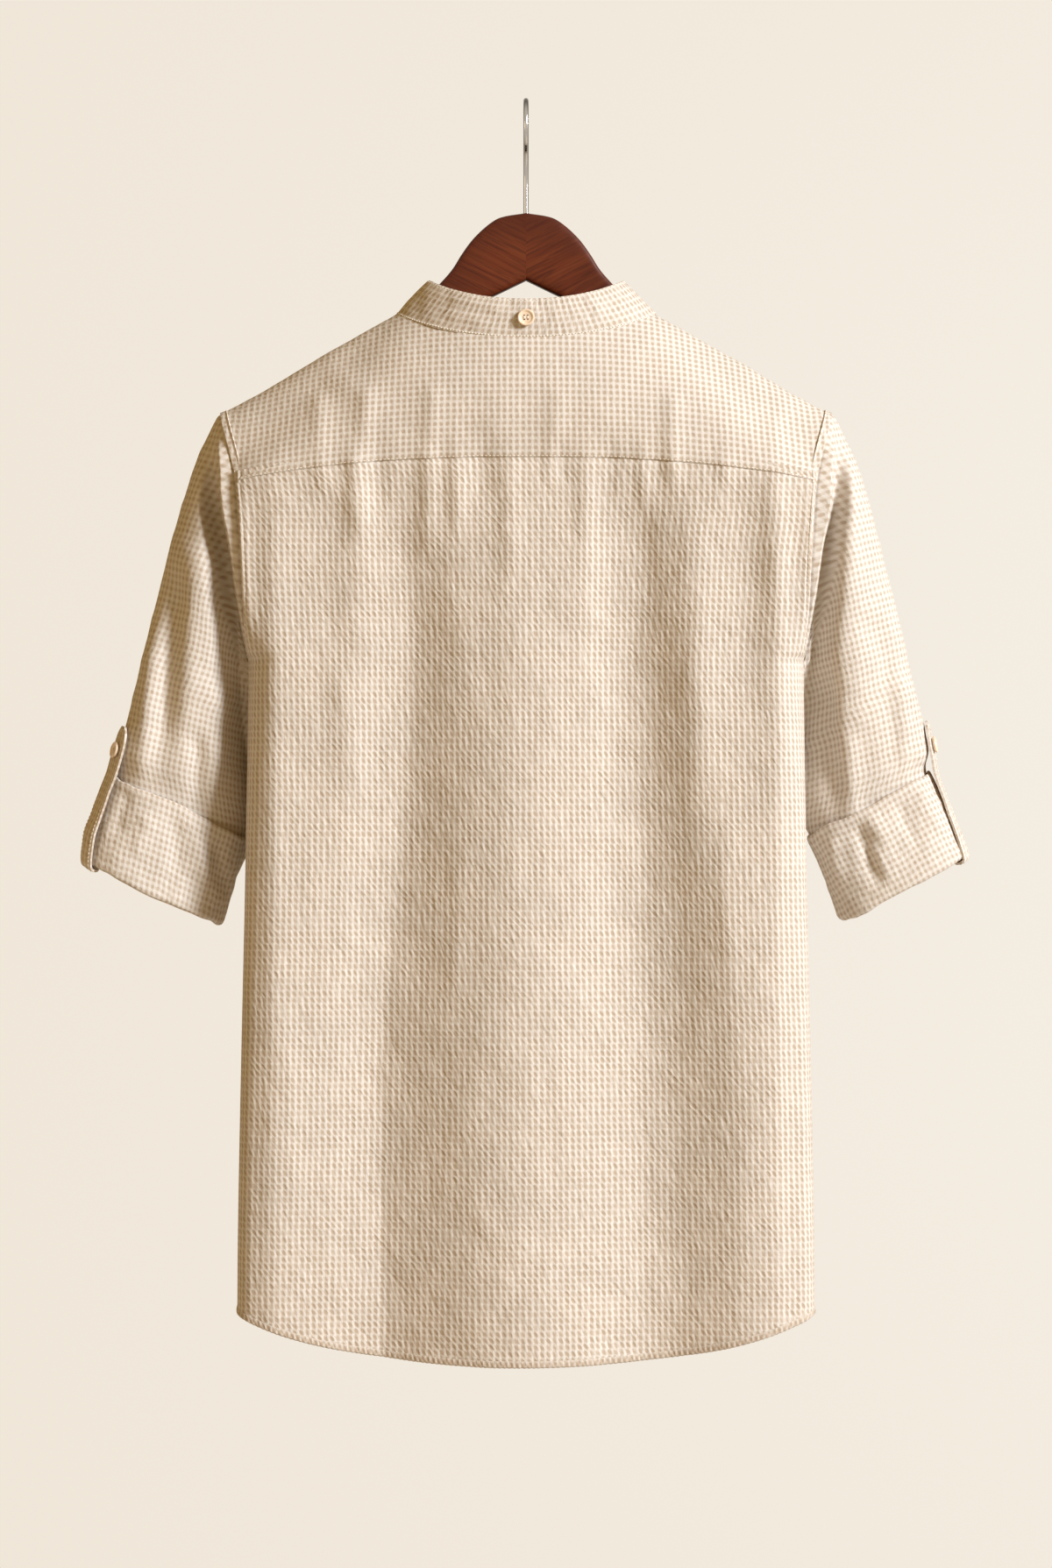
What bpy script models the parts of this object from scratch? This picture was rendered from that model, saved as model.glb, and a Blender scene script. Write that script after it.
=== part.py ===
"""A band-collar popover shirt with rolled sleeves, hanging on a wooden hanger.

Metres, +Z up.  The origin is the inside top of the hanger's hook.  The shirt's front faces -Y and
the wearer's left is +X.  Each panel is a wall of cloth whose edges are mitred at its seams, so that
neighbouring pieces stay a seam gap apart all through their thickness.
"""

import math
from collections import namedtuple

import bpy
import bmesh
import numpy as np
from mathutils import Matrix, Vector

# ---------------------------------------------------------------- driving sizes
SEAM_GAP = 0.0003           # between two pieces at a seam, and between a piece and what lies on it
CLOTH = 0.0012              # one layer of seersucker
BAND_WALL = 0.0024          # collar band, two layers and interlining
CUFF_WALL = 0.0022          # turned-up cuff
TAB_WALL = 0.0020
PLACKET_WALL = 0.0016
HEM_WALL = 0.0018

SHOULDER_X, SHOULDER_Z = 0.2370, -0.2404      # outer end of the shoulder seam
ARMPIT_Z = -0.4320
ARMHOLE_DEPTH = 0.0340                        # armhole's reach to the front and to the back
NECK_X, NECK_Z = 0.0990, -0.1630              # side of the collar seam, on the shoulder ridge
NECK_BACK_Y, NECK_BACK_DROP = 0.0460, 0.0228
NECK_FRONT_Y, NECK_FRONT_DROP = 0.0620, 0.0720
COLLAR_TOP_X, COLLAR_TOP_Z = 0.0750, -0.1377
COLLAR_TOP_BACK_Y, COLLAR_TOP_BACK_DROP = 0.0445, 0.0191
COLLAR_TOP_FRONT_Y, COLLAR_TOP_FRONT_DROP = 0.0545, 0.0690
NECK_ROUND, NECK_FALL = 0.92, 1.6             # plan shape of the collar seam, and its drop
COLLAR_LAP = 0.0110                           # each band end's reach past the centre front

YOKE_SEAM_Z, YOKE_SEAM_SIDE_Z, YOKE_SEAM_CURVE = -0.2784, -0.2957, 2.4
YOKE_FRONT_NECK = math.radians(27.0)          # front shoulder seam, round the neck from the side
YOKE_FRONT_ARM = math.radians(38.0)           # and round the armhole from its top
YOKE_BACK_NECK = math.radians(22.0)           # neck point that faces the yoke's back corner
YOKE_SWELL_SIDE, YOKE_SWELL_BACK = 0.0015, 0.0065    # how far the yoke rounds out between its edges

HEM_SIDE_Z, HEM_BACK_Z, HEM_FRONT_Z = -0.9320, -0.9697, -0.9348
HEM_DEPTH, HEM_CURVE, HEM_BULGE = 0.0045, 2.74, 0.0005
SIDE_EDGE_Y, SIDE_EDGE_TOP, SIDE_EDGE_FALL = 0.0300, -0.3400, 0.2200   # flatness beside the armhole

PLACKET_HALF, PLACKET_END_Z = 0.0125, -0.4200      # slit under the placket
PLACKET_EDGE, PLACKET_FOOT = 0.0030, 0.0120        # placket past the slit, at its sides and below
PLACKET_BUTTONS = (-0.2700, -0.3250, -0.3800)
BUTTON_R, BUTTON_T, BUTTON_HOLE_R, BUTTON_HOLE_OFF = 0.0065, 0.0024, 0.0008, 0.0019

BUTTON_PROFILE = ((0.0, 0.62), (0.58, 0.62), (0.74, 0.98), (0.90, 1.0),     # shares of radius and thickness
                  (1.0, 0.66), (0.97, 0.25), (0.82, 0.0), (0.0, 0.0))

CUFF_HALF_DEPTH, CUFF_HEIGHT = 0.0325, 0.0717
CUFF_ROUND = 1.85                             # 2 is an ellipse, less is more lozenge-shaped
SLEEVE_INSET, SLEEVE_MOUTH_INSET = 0.0042, 0.0034    # sleeve's outer face inside the cuff's

WIRE_R, HOOK_R, HOOK_END = 0.0020, 0.0210, math.radians(203.0)
HOOK_TURN, STEM_BEND_R = math.radians(50.0), 0.0378
HANGER_THICK, HANGER_TIP_X = 0.0130, 0.2180
HANGER_CLEAR = 0.0021                         # hanger's top, straight below the cloth's outer face
ARM_HEIGHT, ARM_TIP_HEIGHT = 0.0220, 0.0190

SLEEVE_IN_CUFF = ((0.0745, SLEEVE_MOUTH_INSET), (0.0400, SLEEVE_INSET),
                  (CUFF_WALL + SEAM_GAP, SLEEVE_INSET))     # heights above the cuff's lower edge, insets
SLEEVE_HOLLOW_SPREAD = math.radians(30.0)
SLEEVE_FOLLOW = 0.3                           # share of its cuff's outward shift that a sleeve takes

# ---------------------------------------------------------------- short tables
Torso = namedtuple("Torso", "z half_width back_y front_y square_x square_y")
TORSO = [
    Torso(-0.240, 0.2370, 0.0505, -0.0590, 3.2, 1.60),
    Torso(-0.289, 0.2238, 0.0515, -0.0565, 4.0, 1.75),
    Torso(-0.342, 0.2190, 0.0480, -0.0525, 4.8, 1.90),
    Torso(-0.396, 0.2156, 0.0445, -0.0480, 5.4, 2.05),
    Torso(-0.432, 0.2130, 0.0425, -0.0455, 6.0, 2.20),
    Torso(-0.580, 0.2170, 0.0370, -0.0400, 6.5, 2.30),
    Torso(-0.730, 0.2203, 0.0350, -0.0380, 6.5, 2.30),
    Torso(-0.870, 0.2230, 0.0345, -0.0375, 6.5, 2.30),
    Torso(-0.980, 0.2238, 0.0345, -0.0375, 6.5, 2.30),
]

# Ridges and hollows that run down a panel: where they cross three levels and how far they stand out.
FOLD_LEVELS = (-0.290, -0.600, -0.950)
Fold = namedtuple("Fold", "x_yoke x_waist x_hem out_yoke out_waist out_hem")
BACK_FOLDS = [
    Fold(-0.240, -0.240, -0.240, 0.000, 0.000, 0.000),
    Fold(-0.150, -0.158, -0.176, 0.002, 0.006, 0.009),
    Fold(-0.088, -0.094, -0.112, -0.002, -0.009, -0.012),
    Fold(0.030, 0.034, 0.030, 0.002, 0.006, 0.011),
    Fold(0.088, 0.092, 0.112, -0.002, -0.010, -0.013),
    Fold(0.186, 0.192, 0.198, 0.001, 0.005, 0.007),
    Fold(0.240, 0.240, 0.240, 0.000, 0.000, 0.000),
]
FRONT_FOLDS = [
    Fold(-0.240, -0.240, -0.240, 0.000, 0.000, 0.000),
    Fold(-0.160, -0.172, -0.182, 0.001, 0.004, 0.006),
    Fold(-0.094, -0.102, -0.114, -0.002, -0.007, -0.010),
    Fold(-0.020, -0.012, 0.006, 0.000, 0.004, 0.010),
    Fold(0.086, 0.092, 0.098, -0.002, -0.008, -0.011),
    Fold(0.150, 0.160, 0.172, 0.001, 0.005, 0.008),
    Fold(0.240, 0.240, 0.240, 0.000, 0.000, 0.000),
]

# Sleeve sections between the armhole and the cuff: outer end, inner end with its distance on the wearer's
# left and on the right, centre depth, half depth, roundness, and the hollow behind the armhole with the
# turn it lies at.
Section = namedtuple("Section", "outer_x outer_z inner_left inner_right inner_z centre_y half_depth "
                                "round_by dip dip_turn")
SLEEVE = [
    Section(0.2550, -0.2760, 0.2138, 0.2138, -0.4420, -0.0020, 0.0330, 2.10, 0.0150, 104),
    Section(0.2675, -0.3140, 0.2140, 0.2135, -0.4530, -0.0090, 0.0335, 2.05, 0.0140, 116),
    Section(0.2790, -0.3560, 0.2138, 0.2112, -0.4660, -0.0180, 0.0340, 2.00, 0.0120, 124),
    Section(0.2905, -0.4000, 0.2140, 0.2095, -0.4840, -0.0270, 0.0345, 1.95, 0.0090, 128),
    Section(0.3025, -0.4500, 0.2145, 0.2085, -0.5120, -0.0360, 0.0345, 1.90, 0.0060, 130),
    Section(0.3140, -0.4980, 0.2150, 0.2080, -0.5420, -0.0430, 0.0330, 1.88, 0.0030, 130),
]
# How much further back than in the sections each sleeve hangs at its cuff, on the wearer's left (1) and
# right (-1), and how far its outer side is turned back behind its inner side, as a share of its width.
SWING = {1: 0.0265, -1: 0.0}
TWIST = {1: 0.30, -1: 0.0}

# Turned-up cuffs on the wearer's left (1) and right (-1): tilt of the sides and slope of the edges in
# degrees, centre of the lower edge, half width.
Cuff = namedtuple("Cuff", "tilt slope bottom_x bottom_y bottom_z half_width")
CUFFS = {
    1: Cuff(18.0, 26.0, 0.2904, -0.0450, -0.6140, 0.0575),
    -1: Cuff(23.0, 27.8, 0.2975, -0.0450, -0.6104, 0.0555),
}

# Tab's outer face: height above the cuff's lower edge, distance off the cuff's face on the wearer's
# left and right, and half width.
TabRow = namedtuple("TabRow", "rise off_left off_right half_width")
TAB = [
    TabRow(0.0200, -0.0088, -0.0088, 0.0105),
    TabRow(0.0080, -0.0088, -0.0088, 0.0105),
    TabRow(0.0006, -0.0087, -0.0087, 0.0105),
    TabRow(-0.0022, -0.0074, -0.0074, 0.0105),
    TabRow(-0.0031, -0.0046, -0.0046, 0.0105),
    TabRow(-0.0031, -0.0012, -0.0012, 0.0105),
    TabRow(-0.0021, 0.0018, 0.0016, 0.0105),
    TabRow(0.0020, 0.0040, 0.0028, 0.0105),
    TabRow(0.0110, 0.0062, 0.0034, 0.0105),
    TabRow(0.0240, 0.0074, 0.0036, 0.0105),
    TabRow(0.0410, 0.0062, 0.0036, 0.0105),
    TabRow(0.0560, 0.0048, 0.0038, 0.0105),
    TabRow(0.0710, 0.0040, 0.0048, 0.0105),
    TabRow(0.0810, 0.0042, 0.0074, 0.0105),
    TabRow(0.0905, 0.0046, 0.0094, 0.0105),
    TabRow(0.0985, 0.0052, 0.0112, 0.0100),
    TabRow(0.1055, 0.0058, 0.0127, 0.0076),
    TabRow(0.1100, 0.0062, 0.0137, 0.0032),
]
TAB_TURN = {1: math.radians(11.0), -1: math.radians(5.0)}    # round the cuff from its outer side
TAB_BUTTON_ROW, TAB_CURL = 14, 0.030

# Hanger's upper edge from the centre to where it goes under the shoulder, and its lower edge.
Edge = namedtuple("Edge", "x top bottom")
HANGER_NECK = [
    Edge(0.0000, -0.0853, -0.1377),
    Edge(0.0200, -0.0887, -0.1474),
    Edge(0.0300, -0.0940, -0.1522),
    Edge(0.0415, -0.1050, -0.1585),
    Edge(0.0500, -0.1160, -0.1628),
    Edge(0.0567, -0.1268, -0.1663),
    Edge(0.0645, -0.1377, -0.1703),
    Edge(0.0790, -0.1527, -0.1778),
    Edge(0.0930, -0.1650, -0.1852),
]

Look = namedtuple("Look", "colour roughness metallic")
COTTON = Look((0.74, 0.66, 0.52), 0.90, 0.0)
RESIN = Look((0.86, 0.80, 0.68), 0.35, 0.0)
WOOD = Look((0.20, 0.055, 0.025), 0.35, 0.0)
STEEL = Look((0.75, 0.75, 0.74), 0.22, 1.0)

# ---------------------------------------------------------------- grid densities
BACK_COLUMNS, ARMHOLE_ROWS, SIDE_ROWS = 24, 7, 11
YOKE_ROWS, YOKE_FRONT_STEPS, YOKE_SIDE_STEPS = 5, 4, 5
NECK_FRONT_STEPS, CUFF_COLUMNS, RING_SIDES = 5, 24, 16
BAND_LEVELS, HEM_LEVELS = (1.0, 0.5, 0.0), (0.0, 0.5, 1.0)
NECK_STEPS, ARM_STEPS, BUTTON_STEPS, HOOK_STEPS, STEM_STEPS = 16, 8, 24, 26, 8
TINY = 1e-6


# ---------------------------------------------------------------- small maths
def smooth(t):
    t = min(1.0, max(0.0, t))
    return t * t * (3.0 - 2.0 * t)


def mix(a, b, t):
    return a + (b - a) * t


def signed_power(value, power):
    return math.copysign(abs(value) ** power, value)


def smooth_value(keys, values, at):
    """Value at a key, on a smooth curve through short lists in rising or falling order."""
    if keys[0] > keys[-1]:
        keys, values = keys[::-1], values[::-1]
    if at <= keys[0]:
        return values[0]
    if at >= keys[-1]:
        return values[-1]
    i = max(k for k in range(len(keys) - 1) if keys[k] <= at)

    def slope(k):
        low, high = max(k - 1, 0), min(k + 1, len(keys) - 1)
        return (values[high] - values[low]) / (keys[high] - keys[low])

    width = keys[i + 1] - keys[i]
    t = (at - keys[i]) / width
    start = (1 + 2 * t) * (1 - t) ** 2 * values[i] + t * (1 - t) ** 2 * width * slope(i)
    end = t * t * (3 - 2 * t) * values[i + 1] + t * t * (t - 1) * width * slope(i + 1)
    return start + end


def torso_value(column, z):
    return smooth_value([row.z for row in TORSO], [getattr(row, column) for row in TORSO], z)


def fold_out(folds, x, z):
    """How far a panel stands out at x, from the ridges and hollows on either side of it."""
    places = [smooth_value(FOLD_LEVELS, row[0:3], z) for row in folds]
    heights = [smooth_value(FOLD_LEVELS, row[3:6], z) for row in folds]
    for i in range(len(folds) - 1):
        if places[i] <= x <= places[i + 1]:
            return mix(heights[i], heights[i + 1], smooth((x - places[i]) / (places[i + 1] - places[i])))
    return 0.0


# ---------------------------------------------------------------- materials
def make_material(name, look):
    material = bpy.data.materials.new(name)
    material.use_nodes = True
    shader = material.node_tree.nodes["Principled BSDF"]
    shader.inputs["Base Color"].default_value = (*look.colour, 1.0)
    shader.inputs["Roughness"].default_value = look.roughness
    shader.inputs["Metallic"].default_value = look.metallic
    material.diffuse_color = (*look.colour, 1.0)
    return material


# ---------------------------------------------------------------- seam lines
def armhole(side, turn):
    """Point on the armhole: turn 0 is the shoulder, a quarter is the back, a half the armpit."""
    z = mix(SHOULDER_Z, ARMPIT_Z, 0.5 - 0.5 * math.cos(turn))
    x = torso_value("half_width", z)
    return Vector((side * x, ARMHOLE_DEPTH * signed_power(math.sin(turn), 0.8), z))


def armhole_mitre(side, turn):
    """Direction of the wall's edge at the armhole, shared by the panels and the sleeve."""
    x = side * (0.50 + 0.30 * math.cos(turn))
    return Vector((x, 0.75 * math.sin(turn), 0.65 * math.cos(turn) - 0.05)).normalized()


def armhole_across(side, turn):
    """Unit step over the armhole seam, from the body towards the sleeve."""
    along = armhole(side, turn + 0.02) - armhole(side, turn - 0.02)
    step = along.cross(armhole_mitre(side, turn)).normalized()
    return step if step.x * side > 0 else -step


def neck(angle, top=0.0):
    """Point on the collar band: angle 0 is the wearer's left, a quarter turn is the back."""
    back, front = math.sin(angle) > 0, abs(math.sin(angle))
    depth = (NECK_BACK_Y if back else NECK_FRONT_Y)
    top_depth = (COLLAR_TOP_BACK_Y if back else COLLAR_TOP_FRONT_Y)
    drop = (NECK_BACK_DROP if back else NECK_FRONT_DROP) * front ** NECK_FALL
    top_drop = (COLLAR_TOP_BACK_DROP if back else COLLAR_TOP_FRONT_DROP) * front ** NECK_FALL
    across, deep = signed_power(math.cos(angle), NECK_ROUND), signed_power(math.sin(angle), NECK_ROUND)
    base = Vector((NECK_X * across, depth * deep, NECK_Z - drop))
    rim = Vector((COLLAR_TOP_X * across, top_depth * deep, COLLAR_TOP_Z - top_drop))
    return base.lerp(rim, top)


def neck_mitre(angle):
    up = (neck(angle, 1.0) - neck(angle)).normalized()
    along = (neck(angle + 0.02) - neck(angle - 0.02)).normalized()
    return along.cross(up).normalized()


def neck_across(angle):
    """Unit step over the collar seam, from the panels up towards the band."""
    along = (neck(angle + 0.02) - neck(angle - 0.02)).normalized()
    return neck_mitre(angle).cross(along).normalized()


# ---------------------------------------------------------------- panels
def spread(u):
    """Columns close up towards the sides, where the panel turns."""
    return math.copysign(1.0 - (1.0 - abs(u)) ** 1.6, u)


def panel_y(front, x, z, edge_y):
    """Depth of the front or back panel, without its folds."""
    half = torso_value("half_width", z)
    depth = torso_value("front_y" if front else "back_y", z)
    square_x, square_y = torso_value("square_x", z), torso_value("square_y", z)
    part = min(1.0, abs(x) / half)
    soft = math.copysign(SIDE_EDGE_Y * (1.0 - smooth((SIDE_EDGE_TOP - z) / SIDE_EDGE_FALL)), depth)
    base = soft + (depth - soft) * (1.0 - part ** square_x) ** (1.0 / square_y)
    return base + (edge_y - soft) * part ** 26


def edge_rows(first_turn):
    """Rows of a panel's side: turns down the armhole, then levels down the side seam."""
    turns = [mix(first_turn, math.pi, i / ARMHOLE_ROWS) for i in range(ARMHOLE_ROWS + 1)]
    rows = [(turn, armhole(1, turn).z) for turn in turns]
    rows += [(math.pi, mix(ARMPIT_Z, HEM_SIDE_Z, (i + 1) / SIDE_ROWS)) for i in range(SIDE_ROWS)]
    return rows


def back_seam_turn():
    share = (SHOULDER_Z - YOKE_SEAM_SIDE_Z) / (SHOULDER_Z - ARMPIT_Z)
    return math.acos(1.0 - 2.0 * share)


def back_point(u, turn, edge_z):
    """Back panel: u runs from -1 to 1 across, edge_z is where its row meets the side."""
    down = (YOKE_SEAM_SIDE_Z - edge_z) / (YOKE_SEAM_SIDE_Z - HEM_SIDE_Z)
    across = spread(u)
    top = mix(YOKE_SEAM_Z, YOKE_SEAM_SIDE_Z, abs(across) ** YOKE_SEAM_CURVE)
    bottom = mix(HEM_BACK_Z, HEM_SIDE_Z, abs(across) ** HEM_CURVE)
    z = mix(top, bottom, down)
    half = torso_value("half_width", edge_z)
    edge_y = armhole(1, turn).y if turn < math.pi - TINY else SEAM_GAP / 2
    x = half * across
    y = panel_y(False, x * torso_value("half_width", z) / half, z, edge_y)
    fade = 1.0 - abs(across) ** 6
    return Vector((x, y + fade * fold_out(BACK_FOLDS, x, z), z))


def wall_normals(points, closed):
    """Outward directions of a grid of points, rows down and columns round."""
    if closed:
        across = np.roll(points, -1, axis=1) - np.roll(points, 1, axis=1)
    else:
        across = np.gradient(points, axis=1)
    down = np.gradient(points, axis=0)
    normals = np.cross(down, across)
    return normals / np.linalg.norm(normals, axis=2, keepdims=True)


def build_wall(name, points, normals, wall, look, closed=False, keep=None):
    """One closed wall of cloth: the outer skin, the inner skin a wall's thickness in, and the rims."""
    rows, columns = points.shape[:2]
    inner = points - normals * wall
    mesh = bmesh.new()
    outer_verts = [[mesh.verts.new(points[j, i]) for i in range(columns)] for j in range(rows)]
    inner_verts = [[mesh.verts.new(inner[j, i]) for i in range(columns)] for j in range(rows)]
    cells = columns if closed else columns - 1
    kept = {(j, i) for j in range(rows - 1) for i in range(cells) if keep is None or keep(j, i)}
    for j, i in sorted(kept):
        k = (i + 1) % columns
        mesh.faces.new((outer_verts[j][i], outer_verts[j + 1][i], outer_verts[j + 1][k], outer_verts[j][k]))
        mesh.faces.new((inner_verts[j][i], inner_verts[j][k], inner_verts[j + 1][k], inner_verts[j + 1][i]))
        left = (j, (i - 1) % cells) if closed else (j, i - 1)
        right = (j, (i + 1) % cells) if closed else (j, i + 1)
        rims = [((j - 1, i), (j, k), (j, i)), ((j + 1, i), (j + 1, i), (j + 1, k)),
                (left, (j, i), (j + 1, i)), (right, (j + 1, k), (j, k))]
        for neighbour, start, end in rims:
            if neighbour not in kept:
                a, b = outer_verts[start[0]][start[1]], outer_verts[end[0]][end[1]]
                c, d = inner_verts[end[0]][end[1]], inner_verts[start[0]][start[1]]
                mesh.faces.new((b, a, d, c))
    loose = [vert for vert in mesh.verts if not vert.link_faces]
    bmesh.ops.delete(mesh, geom=loose, context="VERTS")
    bmesh.ops.recalc_face_normals(mesh, faces=mesh.faces)
    return finish_mesh(name, mesh, look)


def finish_mesh(name, mesh, look):
    data = bpy.data.meshes.new(name)
    mesh.to_mesh(data)
    mesh.free()
    data.materials.append(make_material(name, look))
    data.shade_smooth()
    data.set_sharp_from_angle(angle=math.radians(40.0))
    part = bpy.data.objects.new(name, data)
    parts.objects.link(part)
    return part


def shift_edges(points, normals, index, step, mitre):
    """Give one row or column of a grid its mitre, and move it off the seam by half the gap."""
    points[index] += np.array(step) * SEAM_GAP / 2
    normals[index] = np.array(mitre)


def make_back():
    start = back_seam_turn()
    us = [mix(-1.0, 1.0, i / BACK_COLUMNS) for i in range(BACK_COLUMNS + 1)]
    rows = edge_rows(start)
    points = np.array([[back_point(u, turn, z) for u in us] for turn, z in rows])
    normals = wall_normals(points, False)
    for i in range(len(us)):
        mitre = Vector((normals[0, i, 0], normals[0, i, 1], 0.0))
        shift_edges(points, normals, (0, i), (0.0, 0.0, -1.0), mitre.normalized())
    for column, side in ((0, -1), (len(us) - 1, 1)):
        for j, (turn, z) in enumerate(rows):
            if z > ARMPIT_Z - TINY:
                shift_edges(points, normals, (j, column), -armhole_across(side, turn),
                            armhole_mitre(side, turn))
            else:
                normals[j, column] = (side, 0.0, 0.0)
    build_wall("back_panel", points, normals, CLOTH, COTTON)
    return points[-1], normals[-1]


# ---------------------------------------------------------------- yoke
def yoke_stations():
    """Where the yoke's lines start at the neck and end at the armhole or the back seam."""
    turn_back = back_seam_turn()
    stations = []
    for i in range(YOKE_FRONT_STEPS + 1):
        t = i / YOKE_FRONT_STEPS
        stations.append(("arm", mix(-YOKE_FRONT_ARM, 0.0, t), mix(-YOKE_FRONT_NECK, 0.0, t)))
    for i in range(1, YOKE_SIDE_STEPS + 1):
        t = i / YOKE_SIDE_STEPS
        stations.append(("arm", mix(0.0, turn_back, t), mix(0.0, YOKE_BACK_NECK, t)))
    half = BACK_COLUMNS // 2
    for i in range(1, half + 1):
        t = i / half
        stations.append(("seam", 1.0 - t, mix(YOKE_BACK_NECK, math.pi / 2, t)))
    return stations


def yoke_line(kind, place, angle, side):
    """Neck point, outer point and outer mitre of one line, on one side."""
    start = neck(angle)
    if kind == "arm":
        return start, armhole(1, place), armhole_mitre(1, place), -armhole_across(1, place)
    turn = back_seam_turn()
    end = back_point(place * side, turn, YOKE_SEAM_SIDE_Z)
    near = back_point((place - 0.01) * side, turn, YOKE_SEAM_SIDE_Z)
    mitre = Vector((near.y - end.y, (end.x - near.x) * side, 0.0)).normalized()
    end.x = end.x * side
    return start, end, mitre, Vector((0.0, 0.0, 1.0))


def yoke_half(side):
    """Grid of the yoke's half from the front seam to the centre back, as mirrored to +X."""
    points, normals = [], []
    for kind, place, angle in yoke_stations():
        start, end, mitre, step = yoke_line(kind, place, angle, side)
        start = start - neck_across(angle) * SEAM_GAP / 2
        end = end + step * SEAM_GAP / 2
        swell = YOKE_SWELL_SIDE + YOKE_SWELL_BACK * max(0.0, math.sin(angle)) ** 0.7
        shares = [k / YOKE_ROWS for k in range(YOKE_ROWS + 1)]
        points.append([start.lerp(end, s) + neck_mitre(angle) * swell * 4 * s * (1 - s) for s in shares])
        normals.append((neck_mitre(angle), mitre))
    return np.array(points), normals


def make_yoke():
    left, left_ends = yoke_half(1)
    right, right_ends = yoke_half(-1)
    flip = np.array((-1.0, 1.0, 1.0))
    points = np.concatenate([left, right[-2::-1] * flip])
    ends = left_ends + [(Vector((-a.x, a.y, a.z)), Vector((-b.x, b.y, b.z))) for a, b in right_ends[-2::-1]]
    points = points.transpose(1, 0, 2)
    normals = wall_normals(points, False)
    if normals[2, points.shape[1] // 2, 1] < 0:
        normals = -normals
    for i, (start, end) in enumerate(ends):
        normals[0, i] = start
        normals[-1, i] = end
    build_wall("yoke", points, normals, CLOTH, COTTON)
    return points[:, 0], normals[:, 0], points[:, -1], normals[:, -1]


# ---------------------------------------------------------------- front
def neck_front_angles():
    """Neck angles, below the side, from the front shoulder seam to the slit's edge."""
    last = math.acos((PLACKET_HALF / NECK_X) ** (1 / NECK_ROUND))
    return [mix(YOKE_FRONT_NECK, last, i / NECK_FRONT_STEPS) for i in range(NECK_FRONT_STEPS + 1)]


def front_top(seam_left, seam_right):
    """Upper edge of the front, from the right armhole over the neck to the left armhole."""
    left_points, left_normals = seam_left
    right_points, right_normals = seam_right
    drop = Vector((0.0, -0.55, -0.83)) * SEAM_GAP
    right = [(Vector(p) + drop, Vector(n)) for p, n in zip(right_points[::-1], right_normals[::-1])]
    left = [(Vector(p) + drop, Vector(n)) for p, n in zip(left_points, left_normals)]
    curve = []
    for angle in neck_front_angles()[1:]:
        point = neck(-angle) - neck_across(-angle) * SEAM_GAP / 2
        curve.append((point, neck_mitre(-angle)))
    mirrored = [(Vector((-p.x, p.y, p.z)), Vector((-n.x, n.y, n.z))) for p, n in curve]
    return right + mirrored + curve[::-1] + left


def front_point(u, top, edge, first_turn, row):
    turn, edge_z = row
    first_z = armhole(1, first_turn).z
    down = (first_z - edge_z) / (first_z - HEM_SIDE_Z)
    across = spread(u)
    bottom = mix(HEM_FRONT_Z, HEM_SIDE_Z, abs(across) ** HEM_CURVE)
    z = mix(top.z, bottom, down)
    half = torso_value("half_width", edge_z)
    settle = smooth(down / 0.35)
    x = mix(top.x * half / edge, half * across, settle)
    if abs(top.x) < PLACKET_HALF + 0.0005:
        x = top.x
    edge_y = -armhole(1, turn).y if turn < math.pi - TINY else -SEAM_GAP / 2
    x_here = x * torso_value("half_width", z) / half
    base = panel_y(True, x_here, z, edge_y)
    top_base = panel_y(True, top.x, top.z, -armhole(1, first_turn).y)
    fade = (1.0 - abs(x / half) ** 6) * settle
    y = base + (top.y - top_base) * (1.0 - smooth(down / 0.22)) - fade * fold_out(FRONT_FOLDS, x, z)
    return Vector((x, y, z))


def make_front(seam_left, seam_right):
    top = front_top(seam_left, seam_right)
    first = YOKE_FRONT_ARM
    edge = armhole(1, first).x
    rows = edge_rows(first)
    columns = len(top)
    points, us = [], [mix(-1.0, 1.0, i / (columns - 1)) for i in range(columns)]
    for row in rows:
        points.append([front_point(us[i], top[i][0], edge, first, row) for i in range(columns)])
    points = np.array(points)
    normals = wall_normals(points, False)
    if normals[10, columns // 2, 1] > 0:
        normals = -normals
    for i in range(columns):
        points[0, i] = top[i][0]
        normals[0, i] = top[i][1]
    for column, side in ((0, -1), (columns - 1, 1)):
        for j, (turn, z) in enumerate(rows):
            if j == 0:
                continue
            if z > ARMPIT_Z - TINY:
                shift_edges(points, normals, (j, column), -armhole_across(side, -turn),
                            armhole_mitre(side, -turn))
            else:
                normals[j, column] = (side, 0.0, 0.0)
    middle = (columns - 1) // 2
    slit = max(j for j in range(len(rows)) if points[j, middle, 2] > PLACKET_END_Z)
    build_wall("front_panel", points, normals, CLOTH, COTTON, keep=lambda j, i: i != middle or j >= slit)
    return points, normals, middle, slit


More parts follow.
